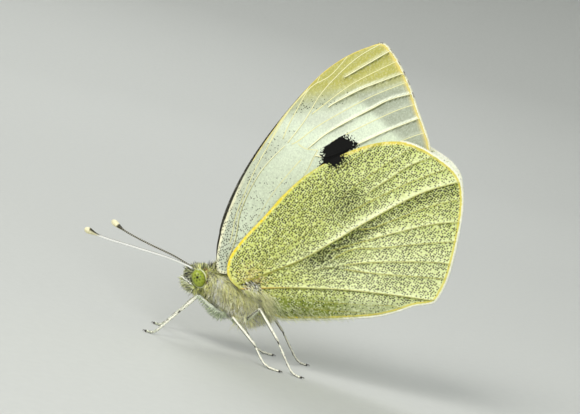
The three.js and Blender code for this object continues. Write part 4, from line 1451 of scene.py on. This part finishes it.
def leg_runs(leg, side):
    thigh, ankle, foot = LEG_PLANS[leg]
    stride = RIGHT_STRIDE[leg] if side < 0 else 0.0
    thigh, ankle = on_side(thigh, side, stride), on_side([ankle], side, stride)
    foot = on_side([(x, y, max(z - 0.1, LOWEST)) for x, y, z in foot], side)
    foot[:, 1] += stride * MM
    upper = smooth_path(thigh, 10)
    spindle = np.sin(np.clip(np.linspace(0, 1, len(upper)) * 1.08, 0, 1) * math.pi) ** 0.7
    upper = np.column_stack((upper, (0.13 + (0.2 if leg == "fore" else 0.12) * spindle) * MM))
    shin = smooth_path(np.vstack((thigh[-1:], thigh[-1:] * 0.5 + ankle * 0.5, ankle)), 10)
    share = np.linspace(0, 1, len(shin))
    shin = np.column_stack((shin, (0.13 + 0.035 * np.sin(share * math.pi) ** 2 + 0.02 * share) * MM))
    toes = smooth_path(np.vstack((ankle, foot)), 12)
    share = travelled(toes)
    share = share / share[-1]
    toe = np.searchsorted(TOE_JOINTS, share, side="right") - 1
    within = (share - TOE_JOINTS[toe]) / np.diff(TOE_JOINTS)[np.minimum(toe, 4)]
    toes = np.column_stack((toes, (0.095 + 0.035 * ramp(within, 0.2, 0.95)) * MM))
    end, way = toes[-1, :3], unit(toes[-1:, :3] - toes[-3:-2, :3])[0]
    spur_way = unit(toes[4:5, :3] - toes[:1, :3])[0]
    runs = [upper, shin, toes]
    for spread in (-1, 1):
        sideways = np.cross(way, (0, 0, 1)) * spread
        claw = np.array([end, end + (way * 0.16 + sideways * 0.09 + np.array((0, 0, 0.05))) * MM,
                         end + (way * 0.3 + sideways * 0.13 - np.array((0, 0, 0.04))) * MM])
        spur = np.array([ankle[0], ankle[0] + (spur_way * 0.3 + sideways * 0.2) * MM])
        for horn, thin in ((claw, 0.012), (spur, 0.015)):
            horn = smooth_path(horn, 4)
            runs.append(np.column_stack((horn, np.linspace(0.05, thin, len(horn)) * MM)))
    return runs


LEGS = {(leg, side): leg_runs(leg, side) for side, _ in SIDES for leg in LEG_PLANS}
print(len(LEGS), "legs planned")


# %% [markdown]
# A leg is white above and dark below, the front thigh greenish grey, and
# claws and spurs are horn.
# %% Legs
def leg_mesh(leg, side, word):
    runs = LEGS[leg, side]
    mesh = tubes(f"{leg}_leg_{word}", runs, 3)
    spots = corners_of(mesh)
    from_below = read(mesh.vertices, "normal", 3) @ np.array((-side * 0.1, -0.68, -0.72))
    first = 0.3 if leg == "fore" else 0.12
    joint = on_side(LEG_PLANS[leg][0], side, RIGHT_STRIDE[leg] if side < 0 else 0.0)
    on_thigh = nearest_run(spots[:, 1:], joint[:, 1:3])[0] < 0.45
    from_end = np.min([np.linalg.norm(spots - run[-1, :3], axis=1) for run in runs[2:]], axis=0)
    note(mesh, under=ramp(from_below, first, first + 0.25), thigh=1.0 * on_thigh * (leg == "fore"),
         horn=1.0 * (from_end < 0.2 * MM))
    return mesh


look = Finish("leg scales", 0.5)
tone, relief = flaked(look, 11000.0)
thigh = look.noted("thigh")
base = look.mix(tone, (255, 253, 242), (240, 237, 214))
base = look.mix(look.calc("MULTIPLY", look.calc("LESS_THAN", tone, 0.12), 0.6), base, (120, 112, 82))
base = look.mix(thigh, base, look.mix(tone, (160, 168, 150), (222, 226, 210)))
under = look.calc("MULTIPLY", look.noted("under"), look.calc("MULTIPLY_ADD", thigh, -0.8, 0.95))
base = look.mix(look.calc("MAXIMUM", under, look.noted("horn")), base, (36, 30, 18))
leg_look = look.done(base, relief, 0.5, 0.02)
for leg in LEG_PLANS:
    for side, word in SIDES:
        nodes = [f"{leg}_leg_{word}_{part}" for part in ("femur", "tibia", "tarsus")]
        finish_piece(leg_mesh(leg, side, word), leg_look, "leg_scales", *nodes)


# %% [markdown]
# The thighs carry soft hair, long and bluish white beneath the front pair, and
# shins and feet a few short spines.
# %% Hair on the legs
def leg_hair(leg, side, word, count, length, seed):
    luck = np.random.default_rng(seed)
    upper, shin, toes = LEGS[leg, side][:3]
    rows = np.vstack((upper[2:], shin[2:-2], toes[:-6]))
    part = np.repeat((0, 1, 2), (len(upper) - 2, len(shin) - 4, len(toes) - 6))
    weight = np.array((1.0, 0.2, 0.16))[part][:-1]
    chosen = luck.choice(len(rows) - 1, count, p=weight / weight.sum())
    on_thigh = part[chosen] == 0
    run = unit(rows[chosen + 1, :3] - rows[chosen, :3])
    pull = np.array((side * 0.4, 0.0, -0.9)) * on_thigh[:, None]
    around = unit(np.cross(run, luck.normal(0, 1, (count, 3)) + pull))
    outward = unit(np.cross(around, run))
    outward = np.where((outward[:, 2] > 0.3)[:, None] & on_thigh[:, None], -outward, outward)
    roots = rows[chosen, :3] + outward * rows[chosen, 3:] * 0.8 + run * luck.uniform(0, 0.1, (count, 1)) * MM
    way = unit(run * np.where(on_thigh, 0.5, 1.4)[:, None] + outward)
    far_down = fade(chosen / (len(upper) - 2), 0.1, 0.9)
    lengths = np.where(on_thigh, length * (0.6 + 0.6 * far_down), 0.17) * luck.uniform(0.6, 1.2, count)
    pick = luck.random(count)[:, None]
    tone = np.where(pick < 0.05, colour(150, 160, 140),
                    np.where(pick < 0.4, colour(196, 210, 168), colour(236, 244, 216)))
    tone = np.where(~on_thigh[:, None] & (pick < 0.4), colour(70, 62, 44), tone)
    turn = np.arctan2(outward[:, 2], outward[:, 0])
    patches = np.column_stack((0.05 + 0.9 * chosen / len(rows), 0.5 + 0.45 * turn / math.pi))
    above_floor = (roots[:, 2] / MM - 0.03) / np.maximum(-way[:, 2], 0.02)
    mesh = plant(f"{leg}_leg_hair_{word}", roots, way, outward, np.minimum(lengths, np.maximum(above_floor, 0.02)),
                 luck.uniform(0.04, 0.07, count), luck.normal(0, 0.05, (count, 3)), tone, tone, patches)
    finish_piece(mesh, coat_look, "leg_scales")


for side, word in SIDES:
    leg_hair("fore", side, word, 1500, 0.75, 51)
    leg_hair("mid", side, word, 420, 0.3, 52)
    leg_hair("hind", side, word, 420, 0.3, 53)

# %% [markdown]
# ## Finish
# The box of the solids and the box of the dressed model are printed side by side.
# %% Sizes
new_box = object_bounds()
sizes = {"cad": [list(corner) for corner in cad_box], "visual": [list(corner) for corner in new_box]}
print("box in mm", [[round(value / MM, 2) for value in corner] for corner in sizes["cad"] + sizes["visual"]])
